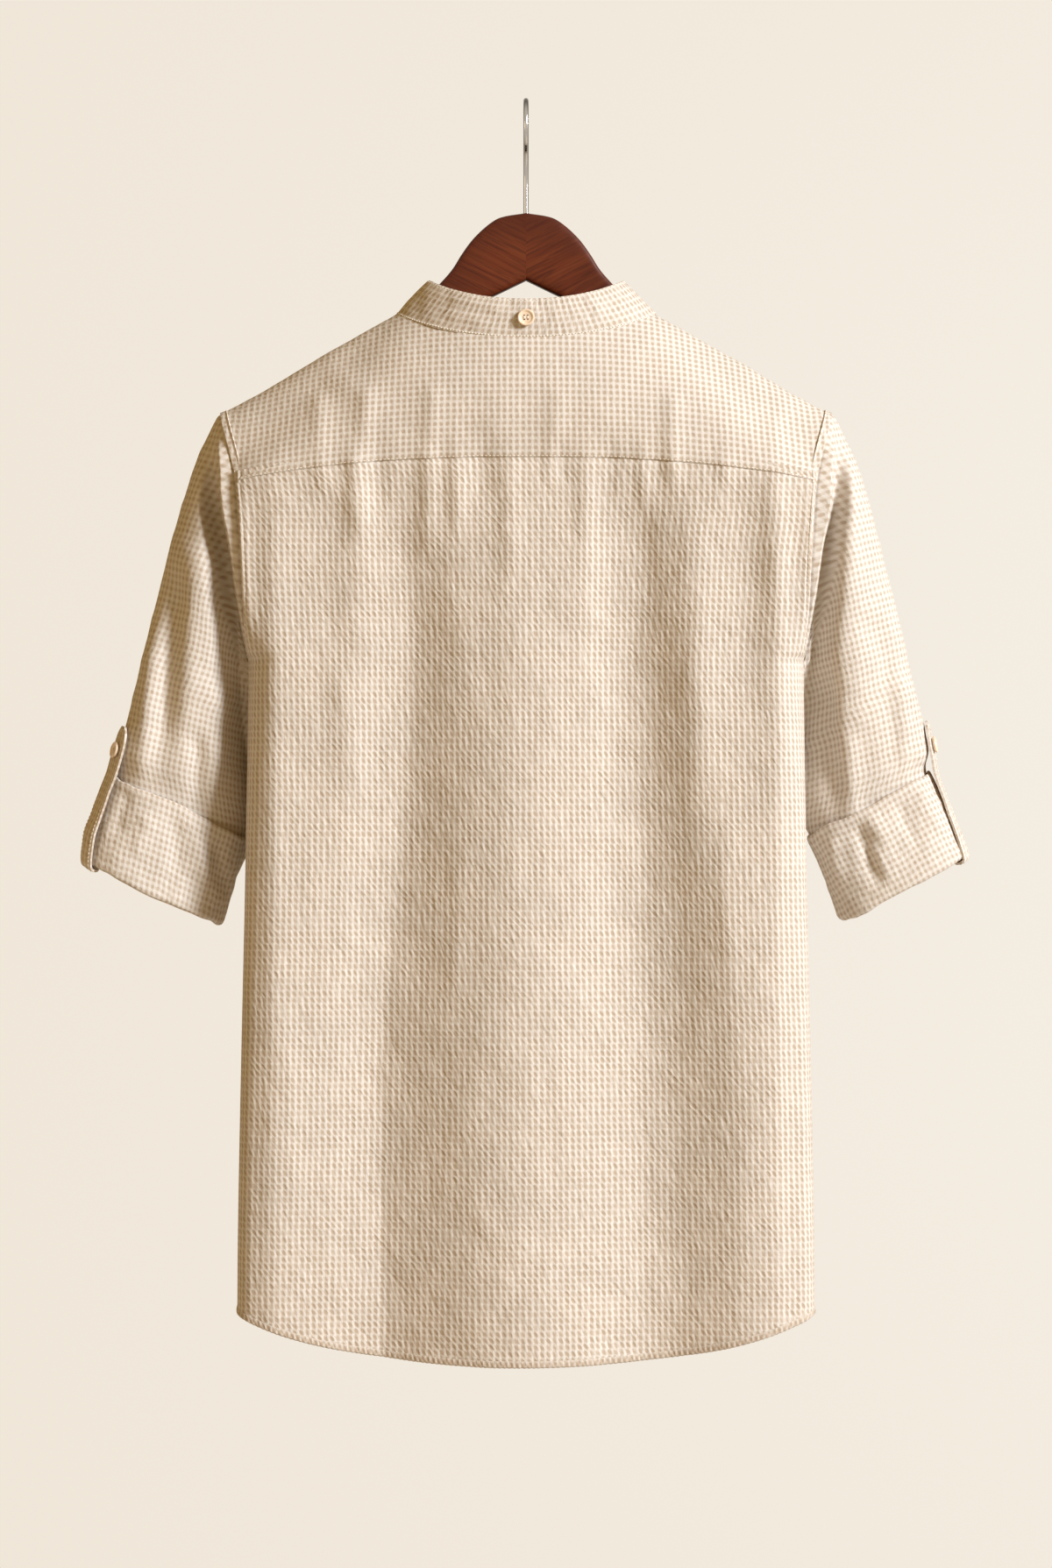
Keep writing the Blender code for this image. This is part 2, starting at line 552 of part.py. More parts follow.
def make_placket(points, normals, middle, slit):
    """Two strips over and under the front slit, from the front's own columns moved out and in."""
    left, right = points[:, middle], points[:, middle + 1]
    beyond_left, beyond_right = points[:, middle - 1], points[:, middle + 2]
    facing = (normals[:, middle] + normals[:, middle + 1]) / 2
    facing[:, 0] = 0.0
    facing /= np.linalg.norm(facing, axis=1, keepdims=True)
    levels = [(beyond_left[j], left[j], right[j], beyond_right[j], facing[j]) for j in range(slit + 2)]
    levels[0] = tuple(mix(levels[0][k], levels[1][k], 0.05) for k in range(5))
    share = PLACKET_FOOT / (left[slit][2] - left[slit + 1][2])
    levels[-1] = tuple(mix(levels[-2][k], levels[-1][k], share) for k in range(5))
    over, under = [], []
    for far_a, a, b, far_b, n in levels:
        side = PLACKET_EDGE / np.linalg.norm(far_a - a)
        across = [mix(a, far_a, side), a, b, mix(b, far_b, side)]
        over.append([point + n * (SEAM_GAP + PLACKET_WALL) for point in across])
        under.append([point - n * (CLOTH + SEAM_GAP) for point in across])
    over, under = np.array(over), np.array(under)
    plain = np.repeat(np.array([level[4] for level in levels])[:, None, :], 4, axis=1)
    build_wall("placket_over", over, plain, PLACKET_WALL, COTTON)
    build_wall("placket_under", under, plain, PLACKET_WALL, COTTON)
    return over, plain


# ---------------------------------------------------------------- collar band
def make_band():
    """One strip round the neck whose left end laps over its right end at the centre front."""
    angles = [angle for kind, place, angle in yoke_stations()]
    angles = [-angle for angle in neck_front_angles()[:0:-1]] + angles
    lap = math.asin(COLLAR_LAP / NECK_X)
    angles = [-math.pi / 2 - lap, -math.pi / 2] + angles
    angles += [math.pi - angle for angle in angles[-2::-1]]
    points, normals = [], []
    for top in BAND_LEVELS:
        row, row_normals = [], []
        for angle in angles:
            mitre = neck_mitre(angle)
            point = neck(angle, top) + neck_across(angle) * SEAM_GAP / 2
            over = smooth((-math.pi / 2 + 0.75 - angle) / 0.60)
            point = point + mitre * (over * (BAND_WALL + 2 * SEAM_GAP))
            row.append(point)
            row_normals.append(mitre)
        points.append(row)
        normals.append(row_normals)
    build_wall("collar_band", np.array(points), np.array(normals), BAND_WALL, COTTON)


# ---------------------------------------------------------------- sleeves and cuffs
def cuff_axes(side):
    """Down the cuff, across it from the inner side to the outer side, and off its outer side."""
    tilt, slope = math.radians(CUFFS[side].tilt), math.radians(CUFFS[side].slope)
    down = Vector((side * math.sin(tilt), 0.0, -math.cos(tilt)))
    across = Vector((side * math.cos(slope), TWIST[side], math.sin(slope)))
    return down, across, Vector((side * math.cos(tilt), 0.0, math.sin(tilt)))


def cuff_point(side, turn, rise, off=0.0):
    """Point on the cuff's outer face or off it: turn 0 is the outer side, a quarter the back."""
    cuff = CUFFS[side]
    down, across, off_side = cuff_axes(side)
    centre = Vector((side * cuff.bottom_x, cuff.bottom_y + SWING[side], cuff.bottom_z)) - down * rise
    power = 2.0 / CUFF_ROUND
    near = across * cuff.half_width * signed_power(math.cos(turn), power)
    deep = Vector((0.0, CUFF_HALF_DEPTH * signed_power(math.sin(turn), power), 0.0))
    return centre + near + deep + cuff_normal(side, turn) * off


def cuff_normal(side, turn):
    power = 2.0 - 2.0 / CUFF_ROUND
    down, across, off_side = cuff_axes(side)
    deep = Vector((0.0, 1.0, 0.0)) - off_side * TWIST[side] / off_side.dot(across)
    return (off_side * signed_power(math.cos(turn), power) / CUFFS[side].half_width
            + deep * signed_power(math.sin(turn), power) / CUFF_HALF_DEPTH).normalized()


def sleeve_ring(side, section, turn):
    share = (SLEEVE[0].outer_z - section.outer_z) / (SLEEVE[0].outer_z - SLEEVE[-1].outer_z)
    # the outer fold lies further out where the cuff hangs further out
    outer_x = section.outer_x + (CUFFS[side].bottom_x - CUFFS[1].bottom_x) * SLEEVE_FOLLOW * share ** 1.5
    inner_x = section.inner_left if side > 0 else section.inner_right
    turned = TWIST[side] * share * (outer_x - inner_x) / 2
    centre_y = section.centre_y + SWING[side] * share
    outer = Vector((side * outer_x, centre_y + turned, section.outer_z))
    inner = Vector((side * inner_x, centre_y - turned, section.inner_z))
    power = 2.0 / section.round_by
    point = (outer + inner) / 2 + (outer - inner) / 2 * signed_power(math.cos(turn), power)
    point.y += section.half_depth * signed_power(math.sin(turn), power)
    hollow = math.exp(-((turn - math.radians(section.dip_turn)) / SLEEVE_HOLLOW_SPREAD) ** 2)
    point.y -= section.dip * hollow
    return point


def armhole_turns():
    """Turns round the armhole at which the yoke, the back and the front have their points."""
    yoke = [place for kind, place, angle in yoke_stations() if kind == "arm"]
    back = [mix(yoke[-1], math.pi, i / ARMHOLE_ROWS) for i in range(1, ARMHOLE_ROWS + 1)]
    front = [2 * math.pi - mix(YOKE_FRONT_ARM, math.pi, i / ARMHOLE_ROWS) for i in range(1, ARMHOLE_ROWS)]
    return yoke + back + front[::-1]


def make_sleeve(side, label):
    turns = armhole_turns()
    first = [armhole(side, t) + armhole_across(side, t) * SEAM_GAP / 2 for t in turns]
    rows = [first]
    rows += [[sleeve_ring(side, section, t) for t in turns] for section in SLEEVE]
    rows += [[cuff_point(side, t, rise, -inset) for t in turns] for rise, inset in SLEEVE_IN_CUFF]
    points = np.array(rows)
    normals = wall_normals(points, True)
    if normals[4, 0, 0] * side < 0:
        normals = -normals
    for i, turn in enumerate(turns):
        normals[0, i] = armhole_mitre(side, turn)
    if side < 0:
        points, normals = points[:, ::-1], normals[:, ::-1]
    build_wall("sleeve_" + label, points, normals, CLOTH, COTTON, closed=True)


def make_cuff(side, label):
    """Turned-up cuff: its outer wall and the fold at its lower edge, under the sleeve's end."""
    path = [(CUFF_HEIGHT, 0.0), (CUFF_HEIGHT * 0.66, 0.0), (CUFF_HEIGHT * 0.33, 0.0), (0.0030, 0.0),
            (0.0009, -0.0007), (0.0, -0.0024), (0.0, -0.0060)]
    turns = [2 * math.pi * i / CUFF_COLUMNS for i in range(CUFF_COLUMNS)]
    points = np.array([[cuff_point(side, t, rise, off) for t in turns] for rise, off in path])
    normals = wall_normals(points, True)
    if normals[1, 0, 0] * side < 0:
        normals = -normals
    if side < 0:
        points, normals = points[:, ::-1], normals[:, ::-1]
    build_wall("cuff_" + label, points, normals, CUFF_WALL, COTTON, closed=True)


def tab_point(side, row, reach):
    """Point on the tab's outer face, reach -1 to 1 across its width."""
    off = row.off_left if side > 0 else row.off_right
    middle = TAB_TURN[side]
    turn = middle + reach * row.half_width / (TAB_CURL + max(0.0, off))
    curved = cuff_point(side, turn, row.rise, off)
    along = cuff_normal(side, middle).cross(cuff_axes(side)[0]).normalized()
    if along.y < 0:
        along = -along
    straight = cuff_point(side, middle, row.rise, off) + along * reach * row.half_width
    return curved.lerp(straight, smooth(row.rise / 0.06))


def make_tab(side, label):
    reaches = (-1.0, -0.5, 0.0, 0.5, 1.0)
    points = np.array([[tab_point(side, row, reach) for reach in reaches] for row in TAB])
    normals = wall_normals(points, False)
    if np.dot(normals[TAB_BUTTON_ROW, 2], np.array(cuff_normal(side, TAB_TURN[side]))) < 0:
        normals = -normals
    build_wall("tab_" + label, points, normals, TAB_WALL, COTTON)
    return Vector(points[TAB_BUTTON_ROW, 2]), Vector(normals[TAB_BUTTON_ROW, 2])


# ---------------------------------------------------------------- hems
def make_hem(name, edge, normals):
    """Narrow turned edge below a panel, a little thicker than the panel to both sides."""
    lift = np.array(normals) * (HEM_WALL - CLOTH) / 2
    top = np.array(edge) + lift - np.array((0.0, 0.0, SEAM_GAP))
    out, down = np.array(normals) * HEM_BULGE, np.array((0.0, 0.0, -HEM_DEPTH))
    rows = [top + down * share + out * 4 * share * (1 - share) for share in HEM_LEVELS]
    build_wall(name, np.array(rows), np.array([normals] * len(rows)), HEM_WALL, COTTON)


# ---------------------------------------------------------------- buttons
def make_button(name, place, facing):
    """Four-hole button: a turned rim and dish, with the holes cut through."""
    profile = [(BUTTON_R * radius, BUTTON_T * height) for radius, height in BUTTON_PROFILE]
    steps = BUTTON_STEPS
    mesh = bmesh.new()
    rings = []
    for radius, height in profile:
        if radius == 0.0:
            rings.append([mesh.verts.new((0.0, 0.0, height))])
        else:
            rings.append([mesh.verts.new((radius * math.cos(2 * math.pi * k / steps),
                                          radius * math.sin(2 * math.pi * k / steps), height))
                          for k in range(steps)])
    for upper, lower in zip(rings, rings[1:]):
        for k in range(steps):
            m = (k + 1) % steps
            corners = [upper[k % len(upper)], lower[k % len(lower)],
                       lower[m % len(lower)], upper[m % len(upper)]]
            mesh.faces.new([v for n, v in enumerate(corners) if v not in corners[:n]])
    bmesh.ops.recalc_face_normals(mesh, faces=mesh.faces)
    button = finish_mesh(name, mesh, RESIN)
    turn = facing.to_track_quat("Z", "Y").to_matrix().to_4x4()
    button.matrix_world = Matrix.Translation(place) @ turn
    drill = button_drill()
    cut = button.modifiers.new("holes", "BOOLEAN")
    cut.operation = "DIFFERENCE"
    cut.object = drill
    drill.matrix_world = button.matrix_world
    drill.name = name + "_drill"
    return button


def button_drill():
    mesh = bmesh.new()
    for k in range(4):
        angle = math.pi / 4 + k * math.pi / 2
        place = Matrix.Translation((BUTTON_HOLE_OFF * math.cos(angle), BUTTON_HOLE_OFF * math.sin(angle),
                                    BUTTON_T / 2))
        bmesh.ops.create_cone(mesh, cap_ends=True, segments=8, radius1=BUTTON_HOLE_R, radius2=BUTTON_HOLE_R,
                              depth=BUTTON_T * 3, matrix=place)
    data = bpy.data.meshes.new("button_drill")
    mesh.to_mesh(data)
    mesh.free()
    drill = bpy.data.objects.new("button_drill", data)
    cutters.objects.link(drill)
    drill.hide_render = True
    drill.display_type = "WIRE"
    return drill


# ---------------------------------------------------------------- hanger and hook
def shoulder_line(x):
    """Height of the shirt's shoulder ridge."""
    share = (x - NECK_X) / (SHOULDER_X - NECK_X)
    return mix(NECK_Z, SHOULDER_Z, share) + YOKE_SWELL_SIDE * 4 * max(0.0, share) * (1 - share)


def hanger_sections():
    """Rows from the centre to the tip: place, upper edge, lower edge, half thickness."""
    rows, half = [], HANGER_THICK / 2
    places = [row.x for row in HANGER_NECK]
    for i in range(NECK_STEPS + 1):
        x = mix(0.0, places[-1], i / NECK_STEPS)
        top = smooth_value(places, [row.top for row in HANGER_NECK], x)
        rows.append((x, top, smooth_value(places, [row.bottom for row in HANGER_NECK], x), half))
    for i in range(1, ARM_STEPS + 1):
        share = i / ARM_STEPS
        x = mix(places[-1], HANGER_TIP_X, share)
        top = shoulder_line(x) - HANGER_CLEAR - 0.0006 * share
        rows.append((x, top, top - mix(ARM_HEIGHT, ARM_TIP_HEIGHT, share ** 3), half))
    x, top, bottom, half = rows[-1]
    rows.append((x + 0.0035, top - 0.0055, bottom + 0.0035, half * 0.75))
    return rows


def make_hanger(side, label):
    """Half of the hanger: rounded sections lofted from the middle joint out to the tip."""
    rows = hanger_sections()
    mesh = bmesh.new()
    rings = []
    for n, (x, top, bottom, half) in enumerate(rows):
        x = max(x, SEAM_GAP / 2)
        ring = []
        for k in range(RING_SIDES):
            angle = 2 * math.pi * (k + 0.5) / RING_SIDES
            power = 0.55 if n < len(rows) - 1 else 0.75
            y = half * signed_power(math.cos(angle), power)
            z = (top + bottom) / 2 + (top - bottom) / 2 * signed_power(math.sin(angle), power)
            ring.append(mesh.verts.new((side * x, y, z)))
        rings.append(ring)
    for near, far in zip(rings, rings[1:]):
        for k in range(RING_SIDES):
            m = (k + 1) % RING_SIDES
            mesh.faces.new((near[k], near[m], far[m], far[k]))
    mesh.faces.new(rings[0])
    mesh.faces.new(rings[-1])
    bmesh.ops.recalc_face_normals(mesh, faces=mesh.faces)
    return finish_mesh("hanger_half_" + label, mesh, WOOD)


def hook_path():
    """Centre line of the hook in the YZ plane, from the wood up, over and down to its free end."""
    centre_z = WIRE_R - HOOK_R
    reach_y, reach_z = HOOK_R * math.cos(HOOK_TURN), centre_z - HOOK_R * math.sin(HOOK_TURN)
    bend_y = reach_y - STEM_BEND_R * (1 - math.cos(HOOK_TURN))
    stem_z = reach_z - STEM_BEND_R * math.sin(HOOK_TURN)
    points = [(bend_y, HANGER_NECK[0].top + SEAM_GAP), (bend_y, mix(HANGER_NECK[0].top, stem_z, 0.5))]
    for k in range(STEM_STEPS + 1):
        angle = HOOK_TURN * k / STEM_STEPS
        y = bend_y + STEM_BEND_R * (1 - math.cos(angle))
        points.append((y, stem_z + STEM_BEND_R * math.sin(angle)))
    for k in range(1, HOOK_STEPS + 1):
        angle = mix(-HOOK_TURN, HOOK_END, k / HOOK_STEPS)
        points.append((HOOK_R * math.cos(angle), centre_z + HOOK_R * math.sin(angle)))
    return points


def make_hook():
    curve = bpy.data.curves.new("hook", "CURVE")
    curve.dimensions = "3D"
    curve.bevel_depth = WIRE_R
    curve.bevel_resolution = 3
    curve.use_fill_caps = True
    points = hook_path()
    spline = curve.splines.new("POLY")
    spline.points.add(len(points) - 1)
    for point, (y, z) in zip(spline.points, points):
        point.co = (0.0, y, z, 1.0)
    curve.materials.append(make_material("hook", STEEL))
    hook = bpy.data.objects.new("hook", curve)
    parts.objects.link(hook)
    return hook


# ---------------------------------------------------------------- scene
def new_collection(name):
    collection = bpy.data.collections.new(name)
    bpy.context.scene.collection.children.link(collection)
    return collection


for item in list(bpy.data.objects):
    bpy.data.objects.remove(item, do_unlink=True)

parts = new_collection("henley_shirt")
cutters = new_collection("cutters")

back_edge, back_normals = make_back()
seam_left_points, seam_left_normals, seam_right_points, seam_right_normals = make_yoke()
front_points, front_normals, slit_column, slit_row = make_front(
    (seam_left_points, seam_left_normals), (seam_right_points, seam_right_normals))
placket_points, placket_normals = make_placket(front_points, front_normals, slit_column, slit_row)
make_band()

for side, label in ((1, "left"), (-1, "right")):
    make_sleeve(side, label)
    make_cuff(side, label)
    tab_place, tab_facing = make_tab(side, label)
    make_button("tab_button_" + label, tab_place + tab_facing * 2 * SEAM_GAP, tab_facing)
    make_hanger(side, label)

make_hem("hem_back", back_edge, back_normals)
make_hem("hem_front", front_points[-1], front_normals[-1])

for number, z in enumerate(PLACKET_BUTTONS, start=1):
    row = min(range(len(placket_points)), key=lambda k: abs(placket_points[k, 1, 2] - z))
    facing = Vector(placket_normals[row, 1])
    middle = Vector((placket_points[row, 1] + placket_points[row, 2]) / 2)
    make_button("placket_button_%d" % number, middle + facing * SEAM_GAP, facing)

back_mitre = neck_mitre(math.pi / 2)
make_button("collar_back_button", neck(math.pi / 2, 0.5) + back_mitre * 2 * SEAM_GAP, back_mitre)
front_mitre = neck_mitre(-math.pi / 2)
lap_out = BAND_WALL + 4 * SEAM_GAP
make_button("collar_front_button", neck(-math.pi / 2, 0.5) + front_mitre * lap_out, front_mitre)
make_hook()
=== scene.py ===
import math

import bpy
import bmesh
import numpy as np
from mathutils import Matrix, Vector


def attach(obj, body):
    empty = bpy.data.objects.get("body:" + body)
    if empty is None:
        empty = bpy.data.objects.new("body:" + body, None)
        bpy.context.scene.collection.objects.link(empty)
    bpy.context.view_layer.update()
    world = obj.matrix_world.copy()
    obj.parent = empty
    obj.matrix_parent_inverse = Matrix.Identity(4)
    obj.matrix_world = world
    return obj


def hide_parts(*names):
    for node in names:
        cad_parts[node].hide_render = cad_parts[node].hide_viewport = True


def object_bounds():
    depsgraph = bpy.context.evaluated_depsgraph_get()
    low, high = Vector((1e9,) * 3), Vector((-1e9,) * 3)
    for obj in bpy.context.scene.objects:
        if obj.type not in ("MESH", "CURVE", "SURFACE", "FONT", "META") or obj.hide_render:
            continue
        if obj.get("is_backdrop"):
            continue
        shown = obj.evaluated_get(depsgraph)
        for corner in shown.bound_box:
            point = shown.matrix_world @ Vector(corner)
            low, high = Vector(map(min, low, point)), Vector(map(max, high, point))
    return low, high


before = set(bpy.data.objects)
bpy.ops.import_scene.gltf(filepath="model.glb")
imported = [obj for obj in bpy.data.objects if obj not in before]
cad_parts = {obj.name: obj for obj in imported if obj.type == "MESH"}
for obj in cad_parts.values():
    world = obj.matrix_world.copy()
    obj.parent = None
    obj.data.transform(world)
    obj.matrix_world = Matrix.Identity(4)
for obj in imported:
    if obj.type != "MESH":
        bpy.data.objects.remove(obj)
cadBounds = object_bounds()
print("frame loaded:", len(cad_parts), "nodes")


# small maths, all of it for numbers or whole arrays
def smooth(t):
    t = np.clip(t, 0.0, 1.0)
    return t * t * (3.0 - 2.0 * t)


def mix(a, b, t):
    return a + (b - a) * t


def signedPower(value, power):
    return np.sign(value) * np.abs(value) ** power


def unit(vectors):
    return vectors / np.maximum(np.linalg.norm(vectors, axis=-1, keepdims=True), 1e-12)


def stack(x, y, z):
    return np.stack(np.broadcast_arrays(x, y, z), axis=-1)


# smooth curve through short lists; values may be whole rings of points
def curveAt(keys, values, at):
    keys, values = np.asarray(keys, float), np.asarray(values, float)
    if keys[0] > keys[-1]:
        keys, values = keys[::-1], values[::-1]
    at = np.clip(at, keys[0], keys[-1])
    wide = (slice(None),) + (None,) * (values.ndim - 1)
    slopes = np.empty_like(values)
    slopes[1:-1] = (values[2:] - values[:-2]) / (keys[2:] - keys[:-2])[wide]
    slopes[0] = (values[1] - values[0]) / (keys[1] - keys[0])
    slopes[-1] = (values[-1] - values[-2]) / (keys[-1] - keys[-2])
    i = np.clip(np.searchsorted(keys, at, side="right") - 1, 0, len(keys) - 2)
    width = keys[i + 1] - keys[i]
    t = (at - keys[i]) / width
    t, width = (np.reshape(a, np.shape(a) + (1,) * (values.ndim - 1)) for a in (t, width))
    start = (1 + 2 * t) * (1 - t) ** 2 * values[i] + t * (1 - t) ** 2 * width * slopes[i]
    return start + t * t * (3 - 2 * t) * values[i + 1] + t * t * (t - 1) * width * slopes[i + 1]


# seeded soft noise, -1 to 1
def wander(a, b, seed):
    lattice = np.random.default_rng(seed).uniform(-1.0, 1.0, (64, 64))
    ia, ib = np.floor(a).astype(int), np.floor(b).astype(int)
    fa, fb = smooth(a - ia), smooth(b - ib)
    ia, ja, ib, jb = ia % 64, (ia + 1) % 64, ib % 64, (ib + 1) % 64
    return mix(mix(lattice[ia, ib], lattice[ja, ib], fa), mix(lattice[ia, jb], lattice[ja, jb], fa), fb)


def crumple(x, z, size, depth, seed):
    near = wander(x / size + 11.3, z / size + 5.1, seed)
    turned = wander((x * 0.8 + z * 0.6) / size * 1.9 + 3.7, (z * 0.8 - x * 0.6) / size * 1.9, seed + 1)
    return depth * (near + 0.5 * turned)


# soft troughs (depth below 0) and ridges along slightly bowed lines
def pressCreases(x, z, creases):
    height = np.zeros(np.broadcast(x, z).shape)
    for startX, startZ, endX, endZ, width, depth, bow in creases:
        alongX, alongZ = endX - startX, endZ - startZ
        length = math.hypot(alongX, alongZ)
        t = ((x - startX) * alongX + (z - startZ) * alongZ) / length ** 2
        off = ((x - startX) * alongZ - (z - startZ) * alongX) / length - bow * 4 * t * (1 - t)
        height += depth * np.exp(-(off / width) ** 2) * smooth(t / 0.25) * smooth((1 - t) / 0.45)
    return height


# ---- node helpers
def addNode(tree, kind, **settings):
    node = tree.nodes.new(kind)
    for key, value in settings.items():
        setattr(node, key, value)
    return node


def plug(tree, source, socket):
    if isinstance(source, (int, float, tuple)):
        socket.default_value = source
    else:
        tree.links.new(source, socket)


def sums(tree, operation, *sources):
    node = addNode(tree, "ShaderNodeMath", operation=operation)
    for source, socket in zip(sources, node.inputs):
        plug(tree, source, socket)
    return node.outputs[0]


def vectorSums(tree, operation, *sources):
    node = addNode(tree, "ShaderNodeVectorMath", operation=operation)
    for source, socket in zip(sources, node.inputs):
        plug(tree, source, socket)
    return node.outputs[0]


def ramp(tree, value, low, high, toLow=0.0, toHigh=1.0):
    node = addNode(tree, "ShaderNodeMapRange", interpolation_type="SMOOTHSTEP")
    for source, name in ((value, "Value"), (low, "From Min"), (high, "From Max"),
                         (toLow, "To Min"), (toHigh, "To Max")):
        plug(tree, source, node.inputs[name])
    return node.outputs["Result"]


def mixColour(tree, share, first, second):
    node = addNode(tree, "ShaderNodeMix", data_type="RGBA")
    for source, index in ((share, 0), (first, 6), (second, 7)):
        plug(tree, source, node.inputs[index])
    return node.outputs[2]


def noiseOf(tree, vector, scale, detail=2.0, roughness=0.5):
    node = addNode(tree, "ShaderNodeTexNoise")
    plug(tree, vector, node.inputs["Vector"])
    plug(tree, scale, node.inputs["Scale"])
    plug(tree, detail, node.inputs["Detail"])
    plug(tree, roughness, node.inputs["Roughness"])
    return node


def newGroup(name, inputs, outputs):
    group = bpy.data.node_groups.new(name, "ShaderNodeTree")
    for label, kind, value in inputs:
        socket = group.interface.new_socket(label, in_out="INPUT", socket_type="NodeSocket" + kind)
        if value is not None:
            socket.default_value = value
    for label, kind in outputs:
        group.interface.new_socket(label, in_out="OUTPUT", socket_type="NodeSocket" + kind)
    return group, addNode(group, "NodeGroupInput").outputs, addNode(group, "NodeGroupOutput").inputs


def useGroup(tree, group, **values):
    node = addNode(tree, "ShaderNodeGroup", node_tree=group)
    for label, value in values.items():
        plug(tree, value, node.inputs[label])
    return node


def newMaterial(name):
    material = bpy.data.materials.new(name)
    material.use_nodes = True
    tree = material.node_tree
    return material, tree, tree.nodes["Principled BSDF"]


# ---- seersucker: a small woven check with puckers
# Cut is the place on the flat cloth in metres. Cream is 1 on cream threads, 0 on tan ones.
def makeSeersuckerCheck():
    group, given, result = newGroup(
        "seersuckerCheck",
        [("Cut", "Vector", None), ("WarpPitch", "Float", 0.0047), ("WeftPitch", "Float", 0.0051),
         ("LineWidth", "Float", 0.30), ("BandWidth", "Float", 0.40), ("Base", "Float", 0.50),
         ("LineTone", "Float", 0.45), ("BandTone", "Float", 0.15), ("DotTone", "Float", 0.50),
         ("Slant", "Float", 0.35), ("Wander", "Float", 0.0009), ("Pucker", "Float", 0.00035),
         ("Crinkle", "Float", 0.0004), ("Uneven", "Float", 1.0), ("DotSize", "Float", 1.0)],
        [("Cream", "Float"), ("Height", "Float")])
    drift = noiseOf(group, given["Cut"], 85.0, 2.0)
    step = vectorSums(group, "SUBTRACT", drift.outputs["Color"], (0.5, 0.5, 0.5))
    scaled = addNode(group, "ShaderNodeVectorMath", operation="SCALE")
    plug(group, step, scaled.inputs[0])
    plug(group, given["Wander"], scaled.inputs["Scale"])
    place = vectorSums(group, "ADD", given["Cut"], scaled.outputs[0])
    part = addNode(group, "ShaderNodeSeparateXYZ")
    plug(group, place, part.inputs[0])
    across = sums(group, "DIVIDE", part.outputs[0], given["WarpPitch"])
    down = sums(group, "DIVIDE", part.outputs[1], given["WeftPitch"])
    inRow = sums(group, "SUBTRACT", sums(group, "FRACT", down), 0.5)
    leaning = sums(group, "ADD", across, sums(group, "MULTIPLY", inRow, given["Slant"]))
    inColumn = sums(group, "SUBTRACT", sums(group, "FRACT", across), 0.5)
    inDot = sums(group, "SUBTRACT", sums(group, "FRACT", leaning), 0.5)
    offLine = sums(group, "MULTIPLY", sums(group, "ABSOLUTE", inColumn), 2.0)
    offBand = sums(group, "MULTIPLY", sums(group, "ABSOLUTE", inRow), 2.0)
    lineFrom = sums(group, "SUBTRACT", 0.90, given["LineWidth"])
    line = ramp(group, offLine, lineFrom, sums(group, "ADD", lineFrom, 0.46))
    bandFrom = sums(group, "SUBTRACT", 0.90, given["BandWidth"])
    band = ramp(group, offBand, bandFrom, sums(group, "ADD", bandFrom, 0.36))
    dotOff = sums(group, "SQRT",
                  sums(group, "ADD", sums(group, "POWER", sums(group, "MULTIPLY", inDot, 2.4), 2.0),
                                      sums(group, "POWER", sums(group, "MULTIPLY", inRow, 1.8), 2.0)))
    dot = ramp(group, sums(group, "DIVIDE", dotOff, given["DotSize"]), 0.36, 1.06, 1.0, 0.0)
    cell = addNode(group, "ShaderNodeCombineXYZ")
    plug(group, sums(group, "FLOOR", across), cell.inputs[0])
    plug(group, sums(group, "FLOOR", down), cell.inputs[1])
    chance = addNode(group, "ShaderNodeTexWhiteNoise", noise_dimensions="2D")
    plug(group, cell.outputs[0], chance.inputs["Vector"])
    luck = sums(group, "MULTIPLY", sums(group, "SUBTRACT", chance.outputs["Value"], 0.5), given["Uneven"])
    patch = sums(group, "SUBTRACT", noiseOf(group, place, 55.0, 2.0, 0.6).outputs["Fac"], 0.5)
    patch = sums(group, "MULTIPLY", patch, given["Uneven"])
    # single threads, warp and weft
    threads = []
    for stretch in ((2600.0, 260.0, 1.0), (260.0, 2400.0, 1.0)):
        drawn = vectorSums(group, "MULTIPLY", place, stretch)
        threads.append(noiseOf(group, drawn, 1.0, 1.0).outputs["Fac"])
    weave = sums(group, "SUBTRACT", sums(group, "ADD", *threads), 1.0)
    slub = sums(group, "SUBTRACT", noiseOf(group, place, 420.0, 2.0, 0.6).outputs["Fac"], 0.5)
    tone = sums(group, "ADD", given["Base"], sums(group, "MULTIPLY", line, given["LineTone"]))
    tone = sums(group, "ADD", tone, sums(group, "MULTIPLY", band, given["BandTone"]))
    depth = sums(group, "ADD", given["DotTone"], sums(group, "ADD", sums(group, "MULTIPLY", luck, 0.30),
                                                      sums(group, "MULTIPLY", patch, 0.6)))
    tone = sums(group, "SUBTRACT", tone, sums(group, "MULTIPLY", dot, depth))
    tone = sums(group, "ADD", tone, sums(group, "ADD", sums(group, "MULTIPLY", weave, 0.40),
                                         sums(group, "MULTIPLY", slub, 0.45)))
    clean = addNode(group, "ShaderNodeClamp")
    plug(group, tone, clean.inputs["Value"])
    plug(group, clean.outputs[0], result["Cream"])
